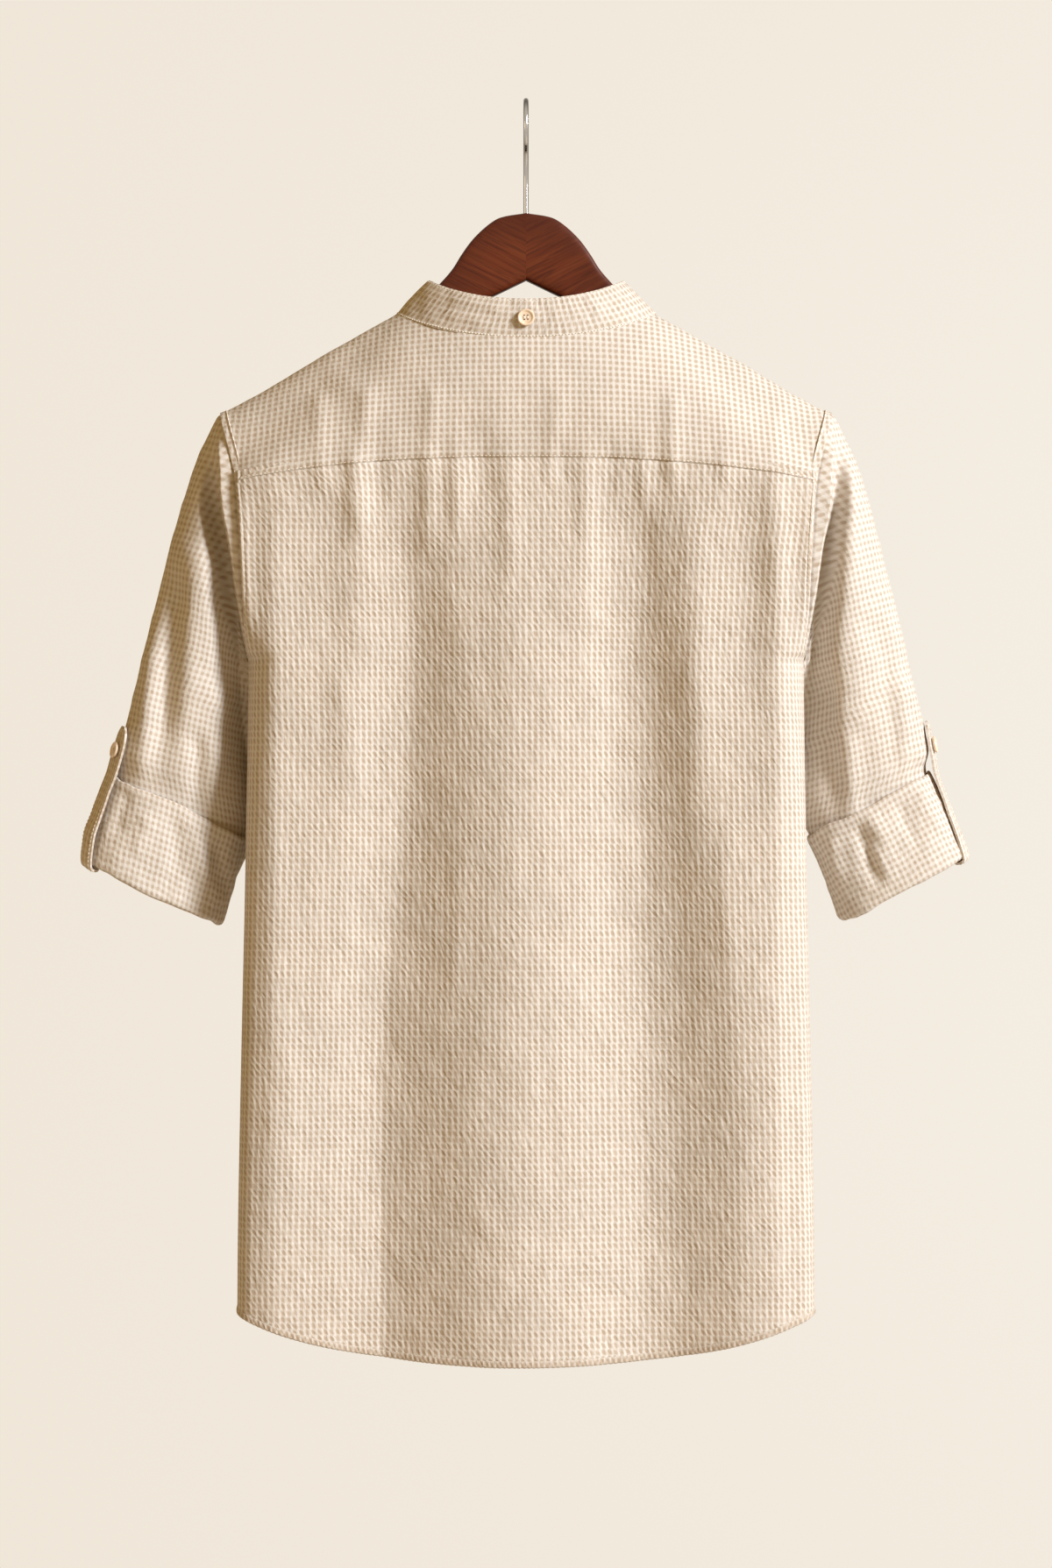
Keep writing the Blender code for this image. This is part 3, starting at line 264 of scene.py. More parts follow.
    # puckers: raised cream lines, dots that sink or swell, and short crinkles that lean or lie across
    sink = sums(group, "MULTIPLY", dot,
                sums(group, "ADD", 0.50, sums(group, "ADD", sums(group, "MULTIPLY", luck, 0.7),
                                                                      sums(group, "MULTIPLY", patch, 1.0))))
    height = sums(group, "ADD", sums(group, "MULTIPLY", line, 0.34), sums(group, "MULTIPLY", band, 0.08))
    height = sums(group, "MULTIPLY", sums(group, "SUBTRACT", height, sink), given["Pucker"])
    for angle, stretch, low, high in ((-0.85, (90.0, 330.0, 1.0), 0.3, 1.0),
                                      (-1.25, (60.0, 300.0, 1.0), 1.0, 0.4)):
        turned = addNode(group, "ShaderNodeMapping", vector_type="POINT")
        plug(group, place, turned.inputs["Vector"])
        turned.inputs["Rotation"].default_value = (0.0, 0.0, angle)
        streak = noiseOf(group, vectorSums(group, "MULTIPLY", turned.outputs[0], stretch), 1.0, 1.0,
                         0.5).outputs["Fac"]
        often = ramp(group, patch, -0.08, 0.16, low, high)
        streak = sums(group, "MULTIPLY", sums(group, "SUBTRACT", streak, 0.5), often)
        height = sums(group, "ADD", height, sums(group, "MULTIPLY", streak, given["Crinkle"]))
    height = sums(group, "ADD", height, sums(group, "MULTIPLY", sums(group, "ADD", weave, slub), 0.00007))
    plug(group, height, result["Height"])
    return group


seersuckerCheck = makeSeersuckerCheck()

# cloth colours are linear; each piece may shift the check and lean it its own way
cloth = dict(cream=(0.83, 0.785, 0.725, 1.0), tan=(0.545, 0.435, 0.330, 1.0), roughness=0.88, sheen=0.10,
             sheenRoughness=0.45, through=0.18, glow=(0.95, 0.64, 0.34, 1.0), blotch=0.06)


# fine relief on a shader's normal
def addBump(tree, shader, height, distance):
    bump = addNode(tree, "ShaderNodeBump")
    bump.inputs["Distance"].default_value = distance
    plug(tree, height, bump.inputs["Height"])
    plug(tree, bump.outputs[0], shader.inputs["Normal"])
    return bump


def makeCloth(name, **check):
    material, tree, shader = newMaterial(name)
    cut = addNode(tree, "ShaderNodeUVMap", uv_map="cut")
    weave = useGroup(tree, seersuckerCheck, Cut=cut.outputs[0], **check)
    patch = noiseOf(tree, cut.outputs[0], 22.0, 2.0, 0.6).outputs["Fac"]
    shade = ramp(tree, patch, 0.3, 0.7, 1.0 - cloth["blotch"], 1.0)
    plain = mixColour(tree, weave.outputs["Cream"], cloth["tan"], cloth["cream"])
    tint = addNode(tree, "ShaderNodeMix", data_type="RGBA", blend_type="MULTIPLY")
    tint.inputs[0].default_value = 1.0
    plug(tree, plain, tint.inputs[6])
    grey = addNode(tree, "ShaderNodeCombineColor")
    for socket in grey.inputs:
        plug(tree, shade, socket)
    plug(tree, grey.outputs[0], tint.inputs[7])
    plug(tree, tint.outputs[2], shader.inputs["Base Color"])
    bump = addBump(tree, shader, weave.outputs["Height"], 1.0)
    shader.inputs["Roughness"].default_value = cloth["roughness"]
    shader.inputs["Sheen Weight"].default_value = cloth["sheen"]
    shader.inputs["Sheen Roughness"].default_value = cloth["sheenRoughness"]
    shader.inputs["Specular IOR Level"].default_value = 0.25
    glow = addNode(tree, "ShaderNodeMix", data_type="RGBA", blend_type="MULTIPLY")
    glow.inputs[0].default_value = 1.0
    plug(tree, tint.outputs[2], glow.inputs[6])
    plug(tree, cloth["glow"], glow.inputs[7])
    through = addNode(tree, "ShaderNodeBsdfTranslucent")
    plug(tree, glow.outputs[2], through.inputs["Color"])
    plug(tree, bump.outputs[0], through.inputs["Normal"])
    blend = addNode(tree, "ShaderNodeMixShader")
    blend.inputs[0].default_value = cloth["through"]
    plug(tree, shader.outputs[0], blend.inputs[1])
    plug(tree, through.outputs[0], blend.inputs[2])
    plug(tree, blend.outputs[0], tree.nodes["Material Output"].inputs["Surface"])
    return material


thread = dict(colour=(0.83, 0.755, 0.65, 1.0), roughness=0.6)
resin = dict(light=(0.83, 0.66, 0.50, 1.0), dark=(0.70, 0.53, 0.38, 1.0), roughness=0.32)
# dark colours the wood's pores and also its painted shade at the rims
wood = dict(dark=(0.045, 0.009, 0.004, 1.0), mid=(0.098, 0.018, 0.0060, 1.0),
            light=(0.150, 0.034, 0.011, 1.0), grainAngle=math.radians(27.0), roughness=0.40,
            specular=0.16, coat=0.04, coatRoughness=0.22)
# edge is the painted shade colour for the wire's sides seen edge-on
steel = dict(colour=(0.50, 0.48, 0.46, 1.0), edge=(0.07, 0.065, 0.06, 1.0), roughness=0.16)


def makeThread():
    material, tree, shader = newMaterial("threadCotton")
    place = addNode(tree, "ShaderNodeTexCoord").outputs["Object"]
    fuzz = noiseOf(tree, place, 1800.0, 2.0)
    colour = mixColour(tree, fuzz.outputs["Fac"], tuple(0.8 * c for c in thread["colour"][:3]) + (1.0,),
                       thread["colour"])
    plug(tree, colour, shader.inputs["Base Color"])
    shader.inputs["Roughness"].default_value = thread["roughness"]
    addBump(tree, shader, fuzz.outputs["Fac"], 0.0001)
    return material


def makeResin():
    material, tree, shader = newMaterial("buttonResin")
    place = addNode(tree, "ShaderNodeTexCoord").outputs["Object"]
    cloud = noiseOf(tree, place, 260.0, 3.0, 0.6)
    colour = mixColour(tree, ramp(tree, cloud.outputs["Fac"], 0.3, 0.7), resin["dark"], resin["light"])
    plug(tree, colour, shader.inputs["Base Color"])
    shader.inputs["Roughness"].default_value = resin["roughness"]
    shader.inputs["Subsurface Weight"].default_value = 0.1
    shader.inputs["Subsurface Radius"].default_value = (0.002, 0.0012, 0.0008)
    scratch = noiseOf(tree, place, 1500.0, 2.0)
    addBump(tree, shader, scratch.outputs["Fac"], 0.00003)
    return material


# grain runs out and down from the middle joint on each half
def makeWood(side):
    material, tree, shader = newMaterial("hangerWoodLeft" if side > 0 else "hangerWoodRight")
    place = addNode(tree, "ShaderNodeTexCoord").outputs["Object"]
    turned = addNode(tree, "ShaderNodeMapping")
    plug(tree, place, turned.inputs["Vector"])
    turned.inputs["Rotation"].default_value = (0.0, side * wood["grainAngle"], 0.0)
    turned.inputs["Location"].default_value = (0.31 * side, 0.0, 0.0)
    long = addNode(tree, "ShaderNodeVectorMath", operation="MULTIPLY")
    plug(tree, turned.outputs[0], long.inputs[0])
    long.inputs[1].default_value = (9.0, 190.0, 330.0)
    fine = addNode(tree, "ShaderNodeVectorMath", operation="MULTIPLY")
    plug(tree, turned.outputs[0], fine.inputs[0])
    fine.inputs[1].default_value = (35.0, 700.0, 1100.0)
    bands = noiseOf(tree, long.outputs[0], 1.0, 3.0, 0.55)
    pores = noiseOf(tree, fine.outputs[0], 1.0, 2.0, 0.6)
    broad = noiseOf(tree, turned.outputs[0], 14.0, 2.0)
    figure = sums(tree, "ADD", sums(tree, "MULTIPLY", bands.outputs["Fac"], 0.75),
                  sums(tree, "MULTIPLY", broad.outputs["Fac"], 0.25))
    colour = mixColour(tree, ramp(tree, figure, 0.32, 0.68), wood["mid"], wood["light"])
    poreMask = ramp(tree, pores.outputs["Fac"], 0.36, 0.52, 0.55, 0.0)
    colour = mixColour(tree, poreMask, colour, wood["dark"])
    # painted shade: the wood darkens where the faces turn towards their rounded edges, and away from a point
    # low in the neck, towards its top outline and out along the arms
    part = addNode(tree, "ShaderNodeSeparateXYZ")
    normal = addNode(tree, "ShaderNodeNewGeometry").outputs["Normal"]
    plug(tree, normal, part.inputs[0])
    rim = ramp(tree, sums(tree, "ABSOLUTE", part.outputs[1]), 0.35, 0.97, 0.75, 0.0)
    away = addNode(tree, "ShaderNodeVectorMath", operation="MULTIPLY_ADD")
    plug(tree, place, away.inputs[0])
    away.inputs[1].default_value = (13.0, 0.0, 15.0)
    away.inputs[2].default_value = (0.0, 0.0, 2.30)
    length = addNode(tree, "ShaderNodeVectorMath", operation="LENGTH")
    plug(tree, away.outputs[0], length.inputs[0])
    edge = ramp(tree, length.outputs["Value"], 0.45, 1.05, 0.0, 0.62)
    colour = mixColour(tree, sums(tree, "MAXIMUM", rim, edge), colour, wood["dark"])
    plug(tree, colour, shader.inputs["Base Color"])
    shader.inputs["Roughness"].default_value = wood["roughness"]
    shader.inputs["Specular IOR Level"].default_value = wood["specular"]
    shader.inputs["Coat Weight"].default_value = wood["coat"]
    shader.inputs["Coat Roughness"].default_value = wood["coatRoughness"]
    addBump(tree, shader, pores.outputs["Fac"], 0.00006)
    return material


def makeSteel():
    material, tree, shader = newMaterial("hookSteel")
    place = addNode(tree, "ShaderNodeTexCoord").outputs["Object"]
    rub = noiseOf(tree, place, 900.0, 3.0, 0.7)
    # painted shade: the base colour darkens towards the wire's edges as seen from the camera
    turn = addNode(tree, "ShaderNodeLayerWeight")
    turn.inputs["Blend"].default_value = 0.5
    away = ramp(tree, turn.outputs["Facing"], 0.15, 0.62)
    plug(tree, mixColour(tree, away, steel["colour"], steel["edge"]), shader.inputs["Base Color"])
    shader.inputs["Metallic"].default_value = 1.0
    plug(tree, ramp(tree, rub.outputs["Fac"], 0.3, 0.75, steel["roughness"] * 0.7, steel["roughness"] * 1.5),
         shader.inputs["Roughness"])
    return material


threadCotton, buttonResin, hookSteel = makeThread(), makeResin(), makeSteel()
print("materials ready")


# ---- meshes from grids of points, rows down and columns across
def gridNormals(points, closed=False):
    if closed:
        across = np.roll(points, -1, axis=1) - np.roll(points, 1, axis=1)
    else:
        across = np.gradient(points, axis=1)
    return unit(np.cross(np.gradient(points, axis=0), across))


def facing(points, towards, closed=False):
    normals = gridNormals(points, closed)
    return -normals if np.mean(np.sum(normals * towards, axis=-1)) < 0 else normals


# a wall of cloth: the given skin, an inner skin, and rims where the wall ends
def clothPiece(name, points, normals, cut, wall, material, closed=False):
    rows, columns = points.shape[:2]
    cells = columns if closed else columns - 1
    verts = np.concatenate([points.reshape(-1, 3), (points - normals * wall).reshape(-1, 3)])
    inner = rows * columns
    j, i = (a.ravel() for a in np.meshgrid(np.arange(rows - 1), np.arange(cells), indexing="ij"))
    k = (i + 1) % columns
    corner = [j * columns + i, (j + 1) * columns + i, (j + 1) * columns + k, j * columns + k]
    where = [(j, i), (j + 1, i), (j + 1, i + 1), (j, i + 1)]
    outward = np.stack(corner, axis=1)
    wide = cut.shape[1]
    places = np.stack([a * wide + b for a, b in where], axis=1)
    faces, cuts = [outward, outward[:, ::-1] + inner], [places, places[:, ::-1]]
    edges = [(j == 0, 0, 3), (j == rows - 2, 2, 1)]
    if not closed:
        edges += [(i == 0, 1, 0), (i == cells - 1, 3, 2)]
    for chosen, a, b in edges:
        p, q = outward[chosen, a], outward[chosen, b]
        faces.append(np.stack([p, q, q + inner, p + inner], axis=1))
        u, v = places[chosen, a], places[chosen, b]
        cuts.append(np.stack([u, v, v, u], axis=1))
    faces, cuts = np.concatenate(faces), np.concatenate(cuts)
    flipped = np.cross(points[1, 0] - points[0, 0], points[0, 1] - points[0, 0]) @ normals[0, 0] < 0
    if flipped:
        faces, cuts = faces[:, ::-1], cuts[:, ::-1]
    return plainMesh(name, verts, faces, material, cut.reshape(-1, 2)[cuts.ravel()], 50.0)


def plainMesh(name, verts, faces, material, cut=None, sharp=None):
    mesh = bpy.data.meshes.new(name)
    mesh.from_pydata(verts.tolist(), [], faces if isinstance(faces, list) else faces.tolist())
    if cut is not None:
        mesh.uv_layers.new(name="cut").data.foreach_set("uv", np.ascontiguousarray(cut, np.float32).ravel())
    mesh.materials.append(material)
    mesh.shade_smooth()
    if sharp:
        mesh.set_sharp_from_angle(angle=math.radians(sharp))
    piece = bpy.data.objects.new(name, mesh)
    bpy.context.scene.collection.objects.link(piece)
    return piece


def register(piece, slot, *nodes):
    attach(piece, "root")
    if nodes:
        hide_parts(*nodes)
    return piece


# lengths along rows (axis 1) or columns (axis 0) of a grid, from its first line
def reach(points, axis):
    step = np.linalg.norm(np.diff(points, axis=axis), axis=-1)
    return np.concatenate([np.zeros_like(np.take(step, [0], axis=axis)), np.cumsum(step, axis=axis)],
                          axis=axis)


# a line at a set distance in from one edge of a grid, as points and normals
def insetLine(points, normals, edge, distance):
    if edge in ("left", "right"):
        points, normals = points.transpose(1, 0, 2), normals.transpose(1, 0, 2)
    if edge in ("right", "bottom"):
        points, normals = points[::-1], normals[::-1]
    lengths = reach(points, 0)
    line, out = [], []
    for column in range(points.shape[1]):
        near = [np.interp(distance, lengths[:, column], a[:, column, k])
                for a in (points, normals) for k in range(3)]
        line.append(near[:3])
        out.append(near[3:])
    return np.array(line), unit(np.array(out))


# ---- stitches: short rounded threads laid end to end, gathered into one mesh for each seam
stitch = dict(length=0.0024, gap=0.0007, radius=0.00032, lift=0.0001, sides=5)
stitchProfile = ((0.0, 0.35, -0.6), (0.2, 1.0, 0.25), (0.8, 1.0, 0.25), (1.0, 0.35, -0.6))


class Seam:
    def __init__(self, name):
        self.name, self.verts, self.faces = name, [], []

    # one thread from start to end, standing off the cloth along out
    def add(self, start, end, out, radius=stitch["radius"], profile=stitchProfile):
        along = unit(end - start)
        side = unit(np.cross(along, out))
        first = len(self.verts)
        sides = stitch["sides"]
        for t, share, rise in profile:
            middle = mix(start, end, t) + out * (rise * radius + stitch["lift"])
            for k in range(sides):
                angle = 2 * math.pi * k / sides
                self.verts.append(middle + (side * math.cos(angle) + out * math.sin(angle)) * radius * share)
        for ring in range(len(profile) - 1):
            for k in range(sides):
                a, b = first + ring * sides + k, first + ring * sides + (k + 1) % sides
                self.faces.append([a, b, b + sides, a + sides])
        last = len(self.verts) - sides
        self.faces.append(list(range(first, first + sides))[::-1])
        self.faces.append(list(range(last, last + sides)))

    def run(self, line, out, length=stitch["length"], gap=stitch["gap"], radius=stitch["radius"], slant=0.0):
        line, out = np.asarray(line), np.asarray(out)
        far = np.concatenate([[0.0], np.cumsum(np.linalg.norm(np.diff(line, axis=0), axis=1))])
        count = max(1, int(far[-1] / (length + gap)))
        pitch = far[-1] / count
        at = lambda s, a: np.array([np.interp(s, far, a[:, k]) for k in range(3)])
        for n in range(count):
            start, end = n * pitch + gap / 2, (n + 1) * pitch - gap / 2
            a, b, facingOut = at(start, line), at(end, line), unit(at((start + end) / 2, out))
            lean = unit(np.cross(b - a, facingOut)) * slant
            self.add(a - lean, b + lean, facingOut, radius)

    def finish(self):
        return register(plainMesh(self.name, np.array(self.verts), self.faces, threadCotton), "seersucker")


# ---- sizes that several pieces share
body = dict(shoulderX=0.2370, shoulderZ=-0.2404, armpitZ=-0.4320, armholeDepth=0.0435,
            yokeFrontNeck=math.radians(27.0), yokeFrontArm=math.radians(38.0),
            yokeBackNeck=math.radians(22.0),
            seamZ=-0.2784, seamSideZ=-0.2957, seamCurve=2.4,
            hemSideZ=-0.9320, hemBackZ=-0.9697, hemFrontZ=-0.9348, hemCurve=2.74,
            sideEdgeY=0.0300, sideEdgeTop=-0.3400, sideEdgeFall=0.2200,
            wall=0.0009, seamDip=0.0006, fellWidth=0.0060, tuck=0.0008)

# level, half width, depth of back and front, and how square the corners are
torso = ((-0.240, 0.2370, 0.0505, -0.0590, 5.0, 1.60),
         (-0.289, 0.2238, 0.0515, -0.0565, 12.0, 1.80),
         (-0.342, 0.2190, 0.0480, -0.0525, 18.0, 1.95),
         (-0.396, 0.2166, 0.0445, -0.0480, 20.0, 2.10),
         (-0.432, 0.2152, 0.0425, -0.0455, 26.0, 2.20),
         (-0.580, 0.2170, 0.0370, -0.0400, 38.0, 2.30),
         (-0.730, 0.2203, 0.0350, -0.0380, 38.0, 2.30),
         (-0.870, 0.2230, 0.0345, -0.0375, 38.0, 2.30),
         (-0.980, 0.2238, 0.0345, -0.0375, 38.0, 2.30))
halfWidth, backY, frontY, squareX, squareY = 1, 2, 3, 4, 5

collar = dict(neckX=0.0990, neckZ=-0.1630, backY=0.0460, backDrop=0.0228, frontY=0.0620, frontDrop=0.0720,
              topX=0.0750, topZ=-0.1377, topBackY=0.0445, topBackDrop=0.0191, topFrontY=0.0545,
              topFrontDrop=0.0690, round=0.92, fall=1.6, lap=0.0110, wall=0.0022)


def torsoAt(column, z):
    return curveAt([row[0] for row in torso], [row[column] for row in torso], z)


# the armhole: turn 0 is the shoulder, a quarter is the back, a half the armpit
def armhole(side, turn):
    z = mix(body["shoulderZ"], body["armpitZ"], 0.5 - 0.5 * np.cos(turn))
    return stack(side * torsoAt(halfWidth, z), body["armholeDepth"] * signedPower(np.sin(turn), 0.8), z)


# direction of the cloth's edge at the armhole, out of the cloth
def armholeOut(side, turn):
    return unit(stack(side * (0.50 + 0.30 * np.cos(turn)), 0.75 * np.sin(turn), 0.65 * np.cos(turn) - 0.05))


# unit step over the armhole seam, from the body to the sleeve
def armholeAcross(side, turn):
    step = unit(np.cross(armhole(side, turn + 0.02) - armhole(side, turn - 0.02), armholeOut(side, turn)))
    return step * np.sign(step[..., :1] * side)


# the collar's seam (top 0) and rim (top 1): angle 0 is the wearer's left, a quarter turn is the back
def neck(angle, top=0.0):
    back = np.sin(angle) > 0
    front = np.abs(np.sin(angle)) ** collar["fall"]
    across = signedPower(np.cos(angle), collar["round"])
    deep = signedPower(np.sin(angle), collar["round"])
    base = stack(collar["neckX"] * across, np.where(back, collar["backY"], collar["frontY"]) * deep,
                 collar["neckZ"] - np.where(back, collar["backDrop"], collar["frontDrop"]) * front)
    rim = stack(collar["topX"] * across, np.where(back, collar["topBackY"], collar["topFrontY"]) * deep,
                collar["topZ"] - np.where(back, collar["topBackDrop"], collar["topFrontDrop"]) * front)
    return mix(base, rim, np.asarray(top, float)[..., None])


def neckOut(angle):
    along = neck(angle + 0.02) - neck(angle - 0.02)
    return unit(np.cross(unit(along), unit(neck(angle, 1.0) - neck(angle))))


def backSeamTurn():
    share = (body["shoulderZ"] - body["seamSideZ"]) / (body["shoulderZ"] - body["armpitZ"])
    return math.acos(1.0 - 2.0 * share)


def panelY(front, x, z, edgeY):
    half = torsoAt(halfWidth, z)
    depth = torsoAt(frontY if front else backY, z)
    part = np.minimum(1.0, np.abs(x) / half)
    settle = 1.0 - smooth((body["sideEdgeTop"] - z) / body["sideEdgeFall"])
    soft = np.sign(depth) * body["sideEdgeY"] * settle
    base = soft + (depth - soft) * (1.0 - part ** torsoAt(squareX, z)) ** (1.0 / torsoAt(squareY, z))
    return base + (edgeY - soft) * part ** 26


# how far along the armhole or below it an edge level lies
def edgeTurn(edgeZ):
    share = np.clip((body["shoulderZ"] - edgeZ) / (body["shoulderZ"] - body["armpitZ"]), 0.0, 1.0)
    return np.arccos(1.0 - 2.0 * share)


# heights of hanging folds from how steeply the cloth faces sideways along each level
def foldHeights(folds, levels, x, z):
    places = curveAt(levels, [[fold[k] for fold in folds] for k in range(len(levels))], z[:, 0])
    slopes = curveAt(levels, [[fold[k + len(levels)] for fold in folds] for k in range(len(levels))], z[:, 0])
    across = np.linspace(-0.25, 0.25, 501)
    heights = np.zeros_like(x)
    for row in range(len(x)):
        order = np.argsort(places[row])
        at, lean = places[row][order], np.tan(np.radians(slopes[row][order]))
        i = np.clip(np.searchsorted(at, across) - 1, 0, len(at) - 2)
        slope = mix(lean[i], lean[i + 1], smooth((across - at[i]) / (at[i + 1] - at[i])))
        slope = np.where((across < at[0]) | (across > at[-1]), 0.0, slope)
        rise = np.concatenate([[0.0], np.cumsum((slope[1:] + slope[:-1]) / 2 * np.diff(across))])
        inside = (across >= at[0]) & (across <= at[-1])
        first, last = np.argmax(inside), len(inside) - 1 - np.argmax(inside[::-1])
        drift = np.interp(across, [at[0], at[-1]], [0.0, rise[last] - rise[first]])
        level = rise - drift
        level -= np.mean(level[inside])
        level *= smooth((across - at[0]) / 0.02) * smooth((at[-1] - across) / 0.02)
        heights[row] = np.interp(x[row], across, level)
    return heights


# the check's place on a panel: true lengths across, levels down
def panelCut(points, topZ):
    across = reach(points, 1)
    middle, inner = points.shape[1] // 2, points.shape[1] // 10
    across = across - across[:, middle:middle + 1]
    girth = across[:, -inner - 1] - across[:, inner]
    across = across * (np.median(girth) / girth)[:, None]
    return np.stack([across, points[..., 2] - topZ], axis=-1)


# the double cloth beside a seam: rounded at its edge, drawn in under its far row of stitches
def seamLip(distance):
    groove = np.exp(-((distance - body["fellWidth"]) / 0.0009) ** 2)
    double = 0.0004 * smooth((body["fellWidth"] - distance) / 0.0010)
    return double - body["seamDip"] * groove - 0.0005 * (1 - smooth(distance / 0.0012))


print("shared shapes ready")


# ---- back panel
back = dict(columns=220, rows=200, spreading=1.4, tuckRows=(0.0070, 0.0040, 0.0016),
            check=dict(WarpPitch=0.00472, WeftPitch=0.0051, LineWidth=0.60, BandWidth=0.46, Base=0.50,
                       LineTone=0.40, BandTone=0.06, DotTone=0.52, Slant=-0.60, Pucker=0.00022,
                       Crinkle=0.0008))
foldLevels = (-0.345, -0.465, -0.598, -0.732, -0.880)

# where each strip of cloth lies at the five levels, and how many degrees it faces the wearer's right
backFolds = ((0.2103, 0.2103, 0.2103, 0.2103, 0.2103, 0, 0, 0, 0, 0),
             (0.1900, 0.1900, 0.1900, 0.1900, 0.1900, 15, 13, 11, 7, 4),
             (0.1640, 0.1700, 0.1700, 0.1640, 0.1640, 4, 4, 3, 7, 4),
             (0.1400, 0.1450, 0.1500, 0.1500, 0.1480, -10, -4, 4, 8, 6),
             (0.1170, 0.1200, 0.1300, 0.1330, 0.1330, 10, 12, 12, 8, 5),
             (0.1000, 0.0980, 0.1120, 0.1160, 0.1130, 6, 7, 7, 2, 1),
             (0.0830, 0.0780, 0.0900, 0.1070, 0.1070, -11, -18, -17, -20, -21),
             (0.0660, 0.0640, 0.0760, 0.0840, 0.0860, -13, -21, -22, -23, -23),
             (0.0420, 0.0400, 0.0480, 0.0500, 0.0500, 2, -12, -18, -22, -22),
             (0.0200, 0.0250, 0.0230, 0.0200, 0.0200, -8, -9, -13, -12, -12),
             (-0.0067, 0.0000, 0.0000, 0.0000, 0.0000, 4, 1, -1, -4, -3),
             (-0.0334, -0.0334, -0.0300, -0.0300, -0.0300, 3, 8, 7, 6, 6),
             (-0.0560, -0.0560, -0.0560, -0.0560, -0.0560, 15, 15, 14, 10, 11),
             (-0.0780, -0.0760, -0.0760, -0.0800, -0.0830, 2, 2, 4, 6, 7),
             (-0.0980, -0.1080, -0.1050, -0.1000, -0.0970, -20, -24, -18, -11, -7),
             (-0.1130, -0.1200, -0.1220, -0.1280, -0.1340, -17, -25, -26, -23, -23),
             (-0.1400, -0.1420, -0.1450, -0.1450, -0.1470, 7, 7, -17, -24, -23),
             (-0.1570, -0.1600, -0.1650, -0.1760, -0.1780, 8, 3, -6, -13, -12),
             (-0.1840, -0.1870, -0.1890, -0.1980, -0.2000, -20, -20, -9, -2, -2),
             (-0.2116, -0.2116, -0.2116, -0.2116, -0.2116, 0, 0, 0, 0, 0))

# gathers into the yoke seam: top and end, width, depth, bow
gathers = ((0.2090, -0.262, 0.2080, -0.306, 0.0060, 0.0016, 0.0),
           (0.1570, -0.258, 0.1560, -0.312, 0.0065, 0.0020, 0.0005),
           (0.1320, -0.258, 0.1280, -0.362, 0.0080, 0.0030, 0.0010),
           (0.1130, -0.262, 0.1110, -0.330, 0.0060, -0.0014, 0.0),
           (0.0735, -0.258, 0.0740, -0.372, 0.0075, 0.0028, -0.0010),
           (0.0540, -0.262, 0.0520, -0.350, 0.0060, 0.0020, 0.0),
           (0.0330, -0.264, 0.0345, -0.320, 0.0060, -0.0012, 0.0),
           (0.0140, -0.264, 0.0130, -0.392, 0.0080, 0.0020, 0.0010),
           (-0.0190, -0.262, -0.0185, -0.310, 0.0055, 0.0015, 0.0),
           (-0.0460, -0.260, -0.0450, -0.372, 0.0070, 0.0020, 0.0),
           (-0.0650, -0.264, -0.0640, -0.322, 0.0060, -0.0012, 0.0),
           (-0.0890, -0.262, -0.0900, -0.332, 0.0065, 0.0020, 0.0),
           (-0.1110, -0.256, -0.1120, -0.312, 0.0065, 0.0028, 0.0),
           (-0.1500, -0.260, -0.1510, -0.310, 0.0065, 0.0020, 0.0),
           (-0.1880, -0.262, -0.1900, -0.450, 0.0080, 0.0024, 0.0015),
           (-0.2215, -0.262, -0.2210, -0.302, 0.0050, 0.0012, 0.0))

# longer soft creases lower on the back
backCreases = ((0.1550, -0.420, 0.1250, -0.560, 0.0090, 0.0012, 0.004),
               (-0.0900, -0.380, -0.0700, -0.520, 0.0100, -0.0012, -0.004),
               (0.0500, -0.560, 0.0620, -0.740, 0.0080, 0.0010, 0.003),
               (-0.1500, -0.560, -0.1620, -0.720, 0.0080, 0.0010, -0.003),
               (0.1850, -0.700, 0.1800, -0.900, 0.0070, 0.0010, 0.002),
               (-0.0100, -0.700, -0.0200, -0.900, 0.0090, -0.0010, 0.003))


def seamZAt(across):
    return mix(body["seamZ"], body["seamSideZ"], np.abs(across) ** body["seamCurve"])


def backHeight(x, z, across):
    grown = 0.20 + 0.80 * smooth((seamZAt(across) - z) / 0.07)
    height = grown * foldHeights(backFolds, foldLevels, x, z) + pressCreases(x, z, gathers + backCreases)
    height += crumple(x, z, 0.030, 0.0007, 21) + crumple(x, z, 0.011, 0.00028, 31)
    return height * (1.0 - np.abs(across) ** 8)


def spreadOut(u, power):
    return np.sign(u) * (1.0 - (1.0 - np.abs(u)) ** power)


def backBase(across, edgeZ, z):
    turn = edgeTurn(edgeZ)
    edgeY = np.where(edgeZ > body["armpitZ"] + 1e-6, body["armholeDepth"] * signedPower(np.sin(turn), 0.8),
                     0.0002)
    half = torsoAt(halfWidth, edgeZ)
    x = half * across
    return stack(x, panelY(False, x * torsoAt(halfWidth, z) / half, z, edgeY), z)


# a flat-felled edge beside each armhole
def addLips(points, normals, level):
    for flip in (False, True):
        side = slice(None, None, -1 if flip else 1)
        distance = reach(points[:, side], 1)[:, side]
        share = smooth((level - body["armpitZ"]) / 0.02)
        points += normals * (seamLip(distance) * share)[..., None]


